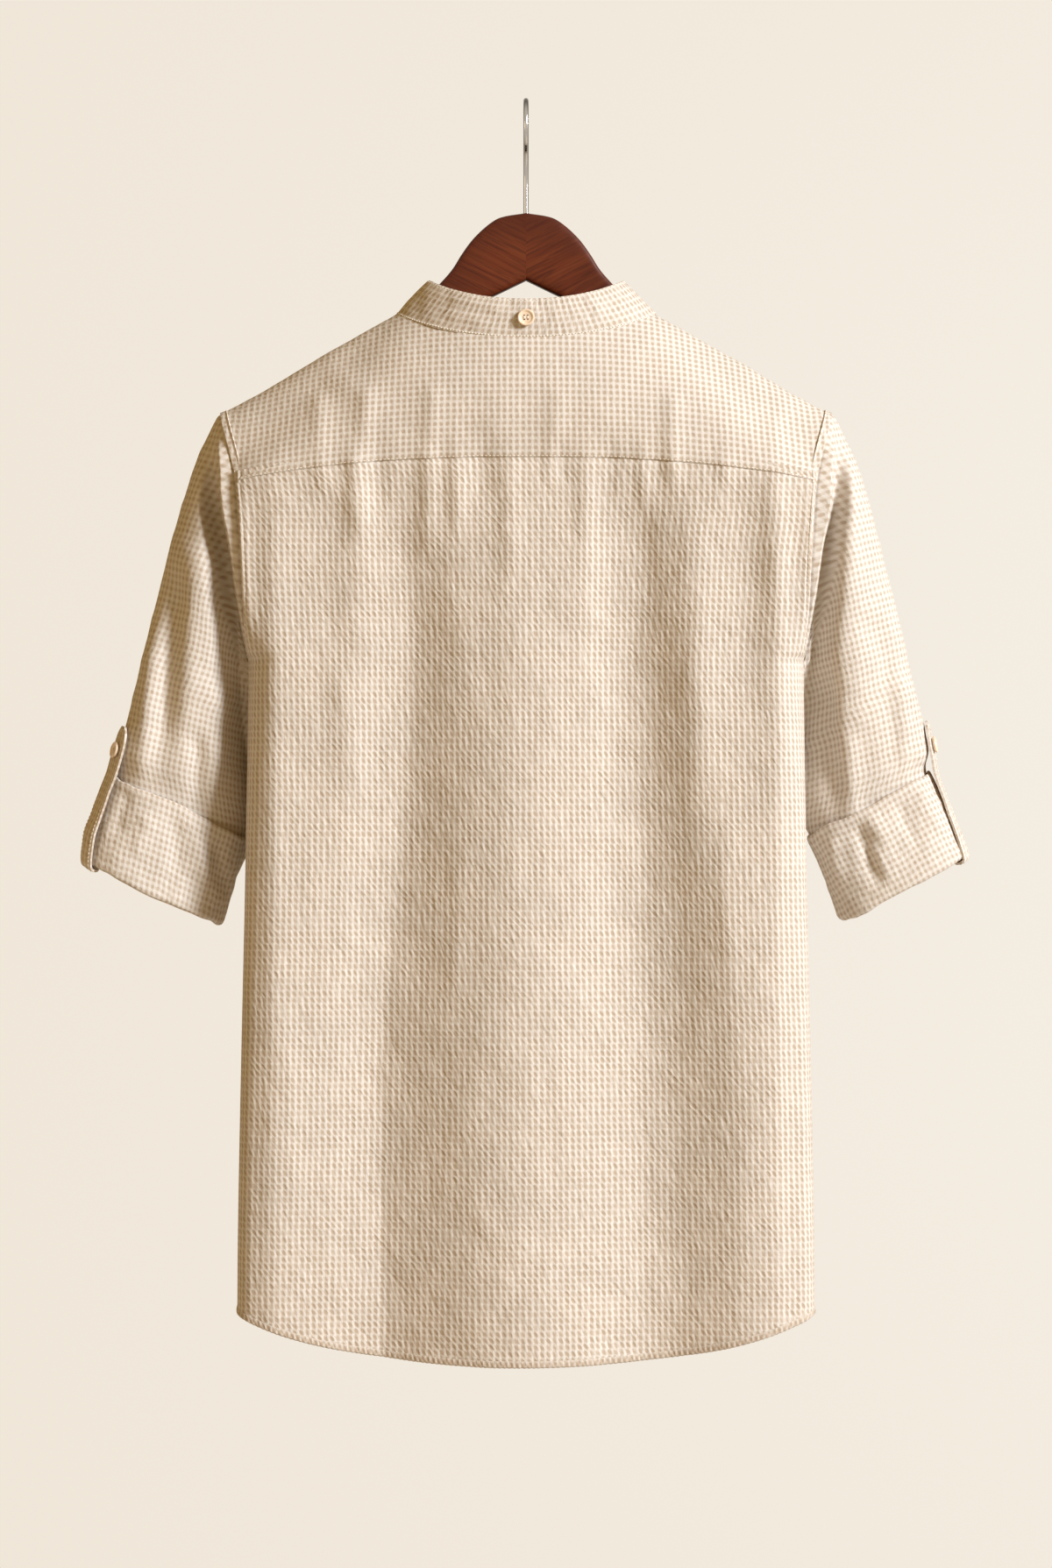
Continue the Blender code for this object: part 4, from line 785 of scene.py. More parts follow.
def makeBack():
    across = spreadOut(np.linspace(-1, 1, back["columns"] + 1), back["spreading"])[None, :]
    edgeZ = np.linspace(body["seamSideZ"], body["hemSideZ"], back["rows"] + 1)[:, None]
    down = (body["seamSideZ"] - edgeZ) / (body["seamSideZ"] - body["hemSideZ"])
    bottom = mix(body["hemBackZ"], body["hemSideZ"], np.abs(across) ** body["hemCurve"])
    z = mix(seamZAt(across), bottom, down)
    above = np.array(back["tuckRows"])[:, None]
    z = np.concatenate([seamZAt(across) + above, z])
    edgeZ = np.concatenate([np.full_like(above, body["seamSideZ"]), edgeZ])
    points = backBase(across, edgeZ, z)
    wide = np.broadcast_to(across, z.shape)
    points[..., 1] += backHeight(points[..., 0], z, wide)
    normals = facing(points, (0, 1, 0))
    cut = panelCut(points, body["seamZ"])
    tucked = body["tuck"] * (1.0 - smooth((seamZAt(wide) - z) / 0.0045))
    points -= normals * tucked[..., None]
    addLips(points, normals, np.broadcast_to(edgeZ, z.shape))
    normals = facing(points, (0, 1, 0))
    piece = clothPiece("backPanel", points, normals, cut, body["wall"],
                       makeCloth("seersuckerBack", **back["check"]))
    register(piece, "seersucker", "back_panel")
    return piece, points, normals


backPiece, backPoints, backNormals = makeBack()
print("back panel ready")

# ---- yoke
yoke = dict(rows=50, edgeRows=(0.972, 0.980, 0.987, 0.993, 1.0), frontColumns=12, sideColumns=26,
            seamColumns=92,
            swellSide=0.0015, swellBack=0.0065, relax=80, wall=0.0010,
            check=dict(WarpPitch=0.00483, WeftPitch=0.0047, LineWidth=0.48, BandWidth=0.56, Base=0.50,
                       LineTone=0.32, BandTone=0.20, DotTone=0.52, Slant=0.05, Pucker=0.00018,
                       Crinkle=0.0004, Uneven=0.45, DotSize=0.86))
yokeCreases = ((0.1590, -0.222, 0.1570, -0.285, 0.0070, 0.0016, 0.0),
               (0.1210, -0.218, 0.1240, -0.280, 0.0070, 0.0016, 0.0),
               (0.0700, -0.215, 0.0730, -0.280, 0.0070, 0.0014, 0.0),
               (-0.0240, -0.222, -0.0220, -0.280, 0.0070, 0.0012, 0.0),
               (-0.1120, -0.222, -0.1110, -0.282, 0.0070, 0.0018, 0.0),
               (-0.1920, -0.238, -0.1900, -0.290, 0.0070, 0.0016, 0.0))


# neck end, outer end and how far over the seam line each of the yoke's lines runs, on one side
def yokeLines():
    turn = backSeamTurn()
    front = np.linspace(0, 1, yoke["frontColumns"] + 1)[:-1]
    middle = np.linspace(0, 1, yoke["sideColumns"] + 1)[:-1]
    arm = np.concatenate([mix(-body["yokeFrontArm"], 0.0, front), mix(0.0, turn, middle)])
    armNeck = np.concatenate([mix(-body["yokeFrontNeck"], 0.0, front),
                              mix(0.0, body["yokeBackNeck"], middle)])
    share = np.linspace(0, 1, yoke["seamColumns"] + 1)
    angle = np.concatenate([armNeck, mix(body["yokeBackNeck"], math.pi / 2, share)])
    across = 1.0 - share
    edge = backBase(across, np.array(body["seamSideZ"]), seamZAt(across))
    outer = np.concatenate([armhole(1, arm), edge])
    return angle, neck(angle), outer


def makeYoke():
    angle, start, outer = yokeLines()
    shares = np.concatenate([np.linspace(0, 0.962, yoke["rows"]), yoke["edgeRows"]])[:, None, None]
    swell = yoke["swellSide"] + yoke["swellBack"] * np.maximum(0.0, np.sin(angle)) ** 0.7
    points = mix(start, outer, shares) + neckOut(angle) * swell[:, None] * 4 * shares * (1 - shares)
    mirrored = points[:, -2::-1] * (-1, 1, 1)
    points = np.concatenate([points, mirrored], axis=1)
    for _ in range(yoke["relax"]):
        around = (points[:-2, 1:-1] + points[2:, 1:-1] + points[1:-1, :-2] + points[1:-1, 2:]) / 4
        weight = np.minimum(1.0, (1.0 - shares[1:-1]) / 0.08)
        points[1:-1, 1:-1] = mix(points[1:-1, 1:-1], around, 0.8 * weight)
    normals = facing(points, (0, 0.6, 0.8))
    x, z = points[..., 0], points[..., 2]
    edge = points[-1:, :]
    overSeam = np.linalg.norm(points - edge, axis=-1)
    back = smooth((points[..., 1] - 0.02) / 0.02)
    half = torsoAt(halfWidth, np.array(body["seamSideZ"]))
    across = np.clip(x / half, -1, 1)
    low = np.minimum(z, seamZAt(across))
    seamHeight = backHeight(x, low, across) * np.exp(-overSeam / 0.016)
    height = back * (seamHeight + pressCreases(x, z, yokeCreases) * (1 - np.exp(-overSeam / 0.010)))
    height += crumple(x, z, 0.026, 0.0006, 41) * smooth(overSeam / 0.02)
    points += normals * height[..., None]
    cut = yokeCut(points)
    normals = facing(points, (0, 0.6, 0.8))
    column = np.arange(points.shape[1])
    fromEnd = np.minimum(column, column[::-1])
    besideArm = 1.0 - smooth((fromEnd - yoke["frontColumns"] - yoke["sideColumns"] + 3.0) / 3.0)
    seamEdge = 0.0002 - 0.0003 * (1 - smooth(overSeam / 0.0012))
    points += normals * mix(seamEdge, 0.5 * seamLip(overSeam), besideArm)[..., None]
    normals = facing(points, (0, 0.6, 0.8))
    piece = clothPiece("yokePanel", points, normals, cut, yoke["wall"],
                       makeCloth("seersuckerYoke", **yoke["check"]))
    register(piece, "seersucker", "yoke")
    return piece, points, normals


# columns lean in a little towards the shoulder, rows follow the back seam
def yokeCut(points):
    x, y, z = points[..., 0], points[..., 1], points[..., 2]
    half = torsoAt(halfWidth, np.array(body["seamSideZ"]))
    across = np.clip(x / half, -1, 1)
    seam = backBase(across, np.array(body["seamSideZ"]), seamZAt(across))
    up = np.hypot(y - seam[..., 1], z - seam[..., 2])
    return np.stack([x * (1.0 + 0.25 * up), up], axis=-1)


yokePiece, yokePoints, yokeNormals = makeYoke()
print("yoke ready")

# ---- front panel
front = dict(seamColumns=24, neckColumns=30, slitColumns=6, rows=230, spreading=1.2, slitHalf=0.0125,
             check=dict(WarpPitch=0.00472, WeftPitch=0.0051, LineWidth=0.60, BandWidth=0.46, Base=0.50,
                        LineTone=0.40, BandTone=0.06, DotTone=0.52, Slant=-0.60, Pucker=0.00022,
                        Crinkle=0.0008))
frontFolds = ((-0.2116, -0.2116, -0.2116, -0.2116, -0.2116, 0, 0, 0, 0, 0),
              (-0.1750, -0.1780, -0.1800, -0.1850, -0.1850, -8, -10, -10, -8, -8),
              (-0.1300, -0.1350, -0.1400, -0.1420, -0.1440, 10, 14, 16, 14, 12),
              (-0.0950, -0.0980, -0.1000, -0.1040, -0.1080, 4, 4, 2, 0, 0),
              (-0.0600, -0.0640, -0.0680, -0.0700, -0.0700, -12, -16, -18, -16, -14),
              (-0.0200, -0.0160, -0.0100, -0.0060, -0.0060, -2, 0, 4, 8, 9),
              (0.0250, 0.0300, 0.0340, 0.0400, 0.0420, 2, 6, 12, 14, 12),
              (0.0650, 0.0640, 0.0660, 0.0720, 0.0740, 12, 16, 16, 12, 10),
              (0.1020, 0.1060, 0.1100, 0.1120, 0.1120, -10, -16, -18, -16, -17),
              (0.1450, 0.1480, 0.1520, 0.1560, 0.1580, -4, -6, -6, -8, -8),
              (0.1750, 0.1800, 0.1820, 0.1850, 0.1860, 10, 12, 10, 8, 8),
              (0.2116, 0.2116, 0.2116, 0.2116, 0.2116, 0, 0, 0, 0, 0))
frontCreases = ((0.1850, -0.300, 0.1300, -0.420, 0.0080, 0.0022, 0.006),
                (-0.1800, -0.310, -0.1250, -0.430, 0.0080, 0.0022, -0.006),
                (0.1500, -0.290, 0.1050, -0.360, 0.0070, -0.0014, 0.003),
                (-0.1450, -0.280, -0.1050, -0.370, 0.0070, -0.0014, -0.003),
                (0.0900, -0.260, 0.0700, -0.420, 0.0080, 0.0016, 0.002),
                (-0.0850, -0.260, -0.0620, -0.430, 0.0080, 0.0016, -0.002),
                (0.0500, -0.500, 0.0450, -0.700, 0.0090, 0.0012, 0.003),
                (-0.1500, -0.520, -0.1450, -0.740, 0.0090, -0.0012, 0.003),
                (0.1450, -0.600, 0.1550, -0.860, 0.0090, 0.0012, -0.003))


def frontTop():
    last = math.acos((front["slitHalf"] / collar["neckX"]) ** (1 / collar["round"]))
    share = np.linspace(0, 1, front["seamColumns"] + 1)[:-1, None]
    seam = mix(armhole(1, -body["yokeFrontArm"]), neck(np.array(-body["yokeFrontNeck"])), share)
    seam = seam + neckOut(np.array(-body["yokeFrontNeck"])) * yoke["swellSide"] * 4 * share * (1 - share)
    angle = -mix(body["yokeFrontNeck"], last, np.linspace(0, 1, front["neckColumns"] + 1))
    left = np.concatenate([seam, neck(angle)])
    slit = np.linspace(left[-1], left[-1] * (-1, 1, 1), front["slitColumns"] + 1)[1:-1]
    return np.concatenate([left, slit, left[::-1] * (-1, 1, 1)])[::-1]


def makeFront():
    top = frontTop()
    count = len(top)
    across = spreadOut(np.linspace(-1, 1, count), front["spreading"])[None, :]
    firstZ = armhole(1, np.array(body["yokeFrontArm"]))[2]
    edgeZ = np.linspace(firstZ, body["hemSideZ"], front["rows"] + 1)[:, None]
    down = (firstZ - edgeZ) / (firstZ - body["hemSideZ"])
    bottom = mix(body["hemFrontZ"], body["hemSideZ"], np.abs(across) ** body["hemCurve"])
    z = mix(top[None, :, 2], bottom, down)
    half, edge = torsoAt(halfWidth, edgeZ), armhole(1, np.array(body["yokeFrontArm"]))[0]
    settle = smooth(down / 0.35)
    x = mix(top[None, :, 0] * half / edge, half * across, settle)
    inSlit = np.abs(top[:, 0]) < front["slitHalf"] + 0.0005
    x = np.where(inSlit, top[None, :, 0], x)
    turn = edgeTurn(edgeZ)
    edgeY = np.where(edgeZ > body["armpitZ"] + 1e-6, -body["armholeDepth"] * signedPower(np.sin(turn), 0.8),
                     -0.0002)
    base = panelY(True, x * torsoAt(halfWidth, z) / half, z, edgeY)
    topBase = panelY(True, top[:, 0], top[:, 2], -armhole(1, np.array(body["yokeFrontArm"]))[1])
    base = base + (top[:, 1] - topBase) * (1.0 - smooth(down / 0.22))
    fade = (1.0 - np.abs(x / half) ** 8) * settle
    height = fade * foldHeights(frontFolds, foldLevels, x, z)
    height += (1.0 - np.abs(x / half) ** 8) * smooth(down / 0.05) * (
        pressCreases(x, z, frontCreases) * smooth((np.abs(x) - 0.016) / 0.02)
        + crumple(x, z, 0.030, 0.0007, 51) + crumple(x, z, 0.011, 0.00028, 61))
    points = stack(x, base - height, z)
    normals = facing(points, (0, -1, 0))
    arcs = reach(points[100:], 1)
    middle = count // 2
    arcs = np.mean(arcs - arcs[:, middle:middle + 1], axis=0)
    shares = np.mean(points[100:, :, 0] / torsoAt(halfWidth, z[100:]), axis=0)
    cut = np.stack([np.interp(x / torsoAt(halfWidth, z), shares, arcs), z - body["seamZ"]], axis=-1)
    addLips(points, normals, np.broadcast_to(edgeZ, z.shape))
    underYoke = np.abs(top[:, 0]) > neck(np.array(-body["yokeFrontNeck"]))[0]
    tucked = body["tuck"] * (1.0 - smooth(reach(points, 0) / 0.0045)) * underYoke
    points -= normals * tucked[..., None]
    first = points[:1] + unit(points[:1] - points[1:2]) * 0.006 * underYoke[:, None] - normals[:1] * 0.0005
    firstCut = cut[:1] + (0.0, 0.006)
    points, cut = np.concatenate([first, points]), np.concatenate([firstCut, cut])
    normals = facing(points, (0, -1, 0))
    piece = clothPiece("frontPanel", points, normals, cut, body["wall"],
                       makeCloth("seersuckerFront", **front["check"]))
    register(piece, "seersucker", "front_panel")
    return piece, points, normals


frontPiece, frontPoints, frontNormals = makeFront()
print("front panel ready")

# ---- placket: two strips over and under the front's slit
placket = dict(half=0.0155, footZ=-0.4300, wall=0.0014, columns=14, lift=0.0013, underDrop=0.0022,
               buttonLevels=(-0.2610, -0.3290, -0.3890), buttonhole=0.0120)


def stripAt(half, levels):
    rows = []
    across = np.linspace(-half, half, placket["columns"] + 1)
    middle = frontPoints.shape[1] // 2
    heights = frontPoints[1:, middle, 2]
    lattice = []
    for row in frontPoints[1:]:
        lattice.append([np.interp(across, row[:, 0], row[:, k]) for k in range(3)])
    lattice = np.array(lattice)
    for z in levels:
        at = np.interp(-z, -heights, np.arange(len(heights)))
        j = min(int(at), len(heights) - 2)
        rows.append(mix(lattice[j], lattice[j + 1], at - j).T)
    return np.array(rows)


def makePlacket():
    levels = np.linspace(-0.2362, placket["footZ"], 84)
    base = stripAt(placket["half"], levels)
    normals = facing(base, (0, -1, 0))
    cut = np.stack([base[..., 0] * 1.02 + 0.0011, base[..., 2] - body["seamZ"] + 0.002], axis=-1)
    rim = (placket["half"] - np.abs(base[..., 0])) / 0.0014
    crown = 0.0003 * smooth((placket["half"] - np.abs(base[..., 0])) / 0.004) - 0.0005 * (1 - smooth(rim))
    over = base + normals * (placket["lift"] + placket["wall"] * 0.5 + crown)[..., None]
    material = makeCloth("seersuckerPlacket", **front["check"])
    piece = clothPiece("placketOver", over, normals, cut, placket["wall"], material)
    register(piece, "seersucker", "placket_over")
    under = base - normals * placket["underDrop"]
    below = clothPiece("placketUnder", under, normals, cut, placket["wall"],
                       makeCloth("seersuckerUnderPlacket", **front["check"]))
    register(below, "seersucker", "placket_under")
    return piece, below, over, facing(over, (0, -1, 0))


placketPiece, underPlacket, placketPoints, placketNormals = makePlacket()

# ---- collar band
band = dict(columns=300, rows=16, reachDown=0.05, lift=0.0007, crown=0.0009,
            check=dict(WarpPitch=0.00470, WeftPitch=0.0047, LineWidth=0.52, BandWidth=0.54, Base=0.48,
                       LineTone=0.30, BandTone=0.18, DotTone=0.44, Slant=-0.25, Pucker=0.00022,
                       Crinkle=0.0008, DotSize=0.9))

# short gathers at the rim and soft folds beside the back button
bandCreases = ((0.0120, -0.1520, 0.0125, -0.1655, 0.0011, -0.0006, 0.0),
               (-0.0045, -0.1520, -0.0050, -0.1640, 0.0010, -0.0006, 0.0),
               (-0.0090, -0.1520, -0.0088, -0.1660, 0.0011, -0.0007, 0.0),
               (-0.0140, -0.1515, -0.0150, -0.1650, 0.0012, -0.0007, 0.0),
               (-0.0195, -0.1510, -0.0205, -0.1670, 0.0013, -0.0007, 0.0),
               (-0.0250, -0.1505, -0.0270, -0.1640, 0.0012, -0.0006, 0.0),
               (0.0680, -0.1545, 0.0020, -0.1705, 0.0038, 0.0011, 0.001),
               (0.0700, -0.1650, 0.0200, -0.1800, 0.0040, 0.0008, 0.001),
               (-0.0030, -0.1540, -0.0200, -0.1760, 0.0042, -0.0010, 0.001),
               (-0.0450, -0.1500, -0.0620, -0.1780, 0.0050, 0.0010, 0.001),
               (0.0780, -0.1480, 0.0880, -0.1720, 0.0050, -0.0008, 0.0))


def makeBand():
    lap = math.asin(collar["lap"] / collar["neckX"])
    angle = np.linspace(-math.pi / 2 - lap, 1.5 * math.pi + lap, band["columns"] + 1)[None, :]
    top = np.linspace(1.0, -band["reachDown"], band["rows"] + 1)[:, None]
    angle, top = np.broadcast_arrays(angle, top)
    out = neckOut(angle)
    lapped = smooth((-math.pi / 2 + 0.75 - angle) / 0.60) * (collar["wall"] + 0.0010)
    rim = smooth((1.0 - top) / 0.06)
    lift = band["lift"] + lapped + band["crown"] * np.sin(math.pi * np.clip(top, 0, 1)) - 0.0006 * (1 - rim)
    points = neck(angle, top)
    points = points + out * lift[..., None]
    x, z = points[..., 0], points[..., 2]
    behind = smooth(out[..., 1] / 0.4)
    height = behind * pressCreases(x, z, bandCreases)
    height += (crumple(angle * 0.09, top * 0.03, 0.020, 0.0005, 71)
               + crumple(angle * 0.09, top * 0.03, 0.008, 0.0002, 81))
    height *= np.where(lapped > 0.0005, 0.3, 1.0)
    points += out * height[..., None]
    around = reach(points, 1)
    middle = around.shape[1] // 2
    cut = np.stack([around - around[:, middle:middle + 1], top * 0.0300], axis=-1)
    cut[..., 0] = cut[8:9, :, 0]
    normals = out
    piece = clothPiece("collarBand", points, normals, cut, collar["wall"],
                       makeCloth("seersuckerCollar", **band["check"]))
    register(piece, "seersucker", "collar_band")
    return piece, points, normals


bandPiece, bandPoints, bandNormals = makeBand()
print("placket and collar ready")

# ---- sleeves: rings between the armhole and the cuff
# outer end, inner end with its distance on the left and on the right, middle depth, half depth, roundness
sleeveRings = ((0.2550, -0.2760, 0.2138, 0.2138, -0.4420, -0.0010, 0.0330, 2.30),
               (0.2675, -0.3140, 0.2140, 0.2135, -0.4530, -0.0080, 0.0335, 2.40),
               (0.2790, -0.3560, 0.2138, 0.2120, -0.4660, -0.0170, 0.0335, 2.50),
               (0.2905, -0.4000, 0.2140, 0.2108, -0.4840, -0.0260, 0.0335, 2.60),
               (0.3025, -0.4500, 0.2145, 0.2095, -0.5120, -0.0350, 0.0335, 2.60),
               (0.3140, -0.4980, 0.2150, 0.2085, -0.5420, -0.0430, 0.0325, 2.50))
# the cloth drops behind the armhole's edge: level, where the drop starts, how deep,
# how far until it is back up
sleeveDrop = ((-0.2500, 0.2380, 0.0000, 0.0120), (-0.2760, 0.2362, 0.0050, 0.0130),
              (-0.3030, 0.2348, 0.0160, 0.0150), (-0.3200, 0.2329, 0.0220, 0.0170),
              (-0.3430, 0.2282, 0.0250, 0.0190), (-0.3840, 0.2222, 0.0260, 0.0230),
              (-0.4240, 0.2161, 0.0260, 0.0260), (-0.4650, 0.2135, 0.0240, 0.0300),
              (-0.5100, 0.2120, 0.0160, 0.0340), (-0.5500, 0.2100, 0.0050, 0.0380),
              (-0.5800, 0.2100, 0.0000, 0.0400))
sleeve = dict(rows=190, columns=150, wall=0.0009, follow=0.3, early=1.35,
              intoCuff=((0.0745, 0.0032), (0.0400, 0.0042), (0.0040, 0.0042)), lean={1: 17.5, -1: 18.0},
              swing={1: 0.0265, -1: 0.0}, twist={1: 0.30, -1: 0.0},
              check=dict(WarpPitch=0.0046, WeftPitch=0.00505, LineWidth=0.60, BandWidth=0.60, Base=0.36,
                         LineTone=0.32, BandTone=0.30, DotTone=0.26, Slant=0.12, Pucker=0.00016,
                         Crinkle=0.0005, Uneven=0.6, DotSize=0.80))
# tilt of the sides, slope of the edges, middle of the lower edge, half width
cuffs = {1: (18.0, 26.0, 0.2904, -0.0450, -0.6140, 0.0575),
         -1: (23.0, 27.8, 0.2975, -0.0450, -0.6104, 0.0555)}
cuff = dict(halfDepth=0.0325, height=0.0717, round=2.35, wall=0.0020, rows=34, columns=150,
            check=dict(WarpPitch=0.0046, WeftPitch=0.00505, LineWidth=0.60, BandWidth=0.60, Base=0.36,
                       LineTone=0.32, BandTone=0.30, DotTone=0.26, Slant=0.10, Pucker=0.00016,
                       Crinkle=0.0005, Uneven=0.6, DotSize=0.80))

# soft folds on each sleeve, on its back (1) and its front (-1)
sleeveCreases = {
    (1, 1): ((0.2520, -0.3100, 0.2680, -0.5500, 0.0140, 0.0045, 0.002),
             (0.2680, -0.3450, 0.2850, -0.5450, 0.0090, -0.0065, 0.001),
             (0.2860, -0.4000, 0.3000, -0.5500, 0.0075, 0.0030, 0.001),
             (0.2560, -0.4800, 0.2540, -0.5600, 0.0060, -0.0030, 0.002),
             (0.2350, -0.4400, 0.2480, -0.5500, 0.0080, 0.0030, 0.002),
             (0.2450, -0.2900, 0.2400, -0.3600, 0.0060, -0.0020, 0.0)),
    (-1, 1): ((-0.2480, -0.3000, -0.2620, -0.5200, 0.0130, 0.0040, -0.002),
              (-0.2330, -0.4300, -0.2430, -0.5700, 0.0080, -0.0040, -0.002),
              (-0.2760, -0.4000, -0.2950, -0.5400, 0.0090, -0.0020, 0.0),
              (-0.2500, -0.4800, -0.2560, -0.5700, 0.0070, 0.0030, 0.0),
              (-0.2900, -0.4400, -0.2980, -0.5500, 0.0070, 0.0020, 0.0)),
    (1, -1): ((0.2500, -0.3200, 0.2620, -0.5400, 0.0130, 0.0045, 0.002),
              (0.2700, -0.3600, 0.2820, -0.5500, 0.0080, -0.0040, 0.001),
              (0.2350, -0.3800, 0.2450, -0.5200, 0.0080, -0.0035, 0.002),
              (0.2900, -0.4100, 0.3000, -0.5500, 0.0080, 0.0025, 0.0)),
    (-1, -1): ((-0.2520, -0.3300, -0.2660, -0.5400, 0.0140, 0.0045, 0.002),
               (-0.2400, -0.4000, -0.2380, -0.5400, 0.0080, -0.0040, 0.001),
               (-0.2800, -0.3800, -0.2920, -0.5300, 0.0080, -0.0035, 0.0))}


def cuffAxes(side):
    tilt, slope = (math.radians(a) for a in cuffs[side][:2])
    down = np.array((side * math.sin(tilt), 0.0, -math.cos(tilt)))
    across = np.array((side * math.cos(slope), sleeve["twist"][side], math.sin(slope)))
    return down, across, np.array((side * math.cos(tilt), 0.0, math.sin(tilt)))


def cuffOut(side, turn):
    power = 2.0 - 2.0 / cuff["round"]
    _, across, sideways = cuffAxes(side)
    deep = np.array((0.0, 1.0, 0.0)) - sideways * sleeve["twist"][side] / (sideways @ across)
    near = sideways * (signedPower(np.cos(turn), power) / cuffs[side][5])[..., None]
    return unit(near + deep * (signedPower(np.sin(turn), power) / cuff["halfDepth"])[..., None])


# a point on the cuff's outer face or off it: turn 0 is the outer side, a quarter the back
def cuffPoint(side, turn, rise, off=0.0):
    turn, rise, off = np.broadcast_arrays(*(np.asarray(a, float) for a in (turn, rise, off)))
    down, across, _ = cuffAxes(side)
    power = 2.0 / cuff["round"]
    middleY = cuffs[side][3] + sleeve["swing"][side]
    centre = np.array((side * cuffs[side][2], middleY, cuffs[side][4])) - down * rise[..., None]
    near = across * (cuffs[side][5] * signedPower(np.cos(turn), power))[..., None]
    deep = stack(0.0, cuff["halfDepth"] * signedPower(np.sin(turn), power), 0.0)
    return centre + near + deep + cuffOut(side, turn) * off[..., None]


def sleeveRing(side, ring, turn):
    outerX, outerZ, innerLeft, innerRight, innerZ, centreY, halfDepth, roundBy = ring
    innerX = innerLeft if side > 0 else innerRight
    share = (sleeveRings[0][1] - outerZ) / (sleeveRings[0][1] - sleeveRings[-1][1])
    outerX = outerX + (cuffs[side][2] - cuffs[1][2]) * sleeve["follow"] * share ** 1.5
    power = 2.0 / roundBy
    across = signedPower(np.cos(turn), power)
    turned = sleeve["twist"][side] * share * (outerX - innerX) / 2
    y = (centreY + sleeve["swing"][side] * share + turned * across
         + halfDepth * signedPower(np.sin(turn), power))
    x = side * mix(innerX, outerX, 0.5 + 0.5 * across)
    return stack(x, y, mix(innerZ, outerZ, 0.5 + 0.5 * across))


# rings on smooth curves through a few key rings, closer together at the start
def throughRings(rings, rows, early):
    rings = np.array(rings)
    gaps = np.linalg.norm(np.diff(rings, axis=0), axis=-1)
    keys = np.concatenate([[0.0], np.cumsum(np.mean(gaps, axis=1) ** 0.8)])
    return curveAt(keys, rings, keys[-1] * np.linspace(0, 1, rows) ** early)


# beside the armhole the sleeve stays level with it until the drop
def levelStrip(points):
    starts = curveAt([row[0] for row in sleeveDrop], [row[1] for row in sleeveDrop], points[..., 2])
    flat = body["armholeDepth"] * np.sin(edgeTurn(points[..., 2])) ** 0.8 - 0.0012
    share = 1.0 - smooth((np.abs(points[..., 0]) - starts) / 0.0015)
    share = share * smooth((reach(points, 0) - 0.0056) / 0.0030)
    share *= smooth((-0.258 - points[..., 2]) / 0.020) * smooth((points[..., 2] - body["armpitZ"]) / 0.012)
    mirrored = points[:, -np.arange(points.shape[1]) % points.shape[1], 1]
    level = np.where(points[..., 1] > mirrored, np.maximum(points[..., 1], flat),
                     np.minimum(points[..., 1], -flat))
    return mix(points[..., 1], level, share)


# how far the sleeve's cloth drops towards its middle behind the armhole's edge, front and back alike
def dropBehind(points):
    levels = [row[0] for row in sleeveDrop]
    starts, depth, width = (curveAt(levels, [row[k] for row in sleeveDrop], points[..., 2])
                            for k in (1, 2, 3))
    mirrored = points[:, -np.arange(points.shape[1]) % points.shape[1]]
    thick = points[..., 1] - mirrored[..., 1]
    past = np.abs(points[..., 0]) - starts
    edge = mix(1.0, smooth((past + 0.0012) / 0.0040), smooth((points[..., 2] + 0.450) / 0.02))
    drop = depth * edge * (1.0 - smooth((past - 0.003) / width))
    drop = drop * np.where(thick > 0, 1.0, 0.7)
    return -np.sign(thick) * np.minimum(drop, 0.44 * np.abs(thick))


# the check's place on a sleeve that leans: true girth from the outer fold, drop along the lean
def tubeCut(points, lean, start):
    wrapped = np.concatenate([points, points[:, :1]], axis=1)
    down = np.sum(wrapped * lean, axis=-1)
    step = np.linalg.norm(np.diff(wrapped, axis=1), axis=-1)
    level = np.sqrt(np.maximum(step ** 2 - np.diff(down, axis=1) ** 2, 0.0))
    around = np.concatenate([np.zeros_like(level[:, :1]), np.cumsum(level, axis=1)], axis=1)
    return np.stack([around - around[:, start:start + 1], -down], axis=-1)


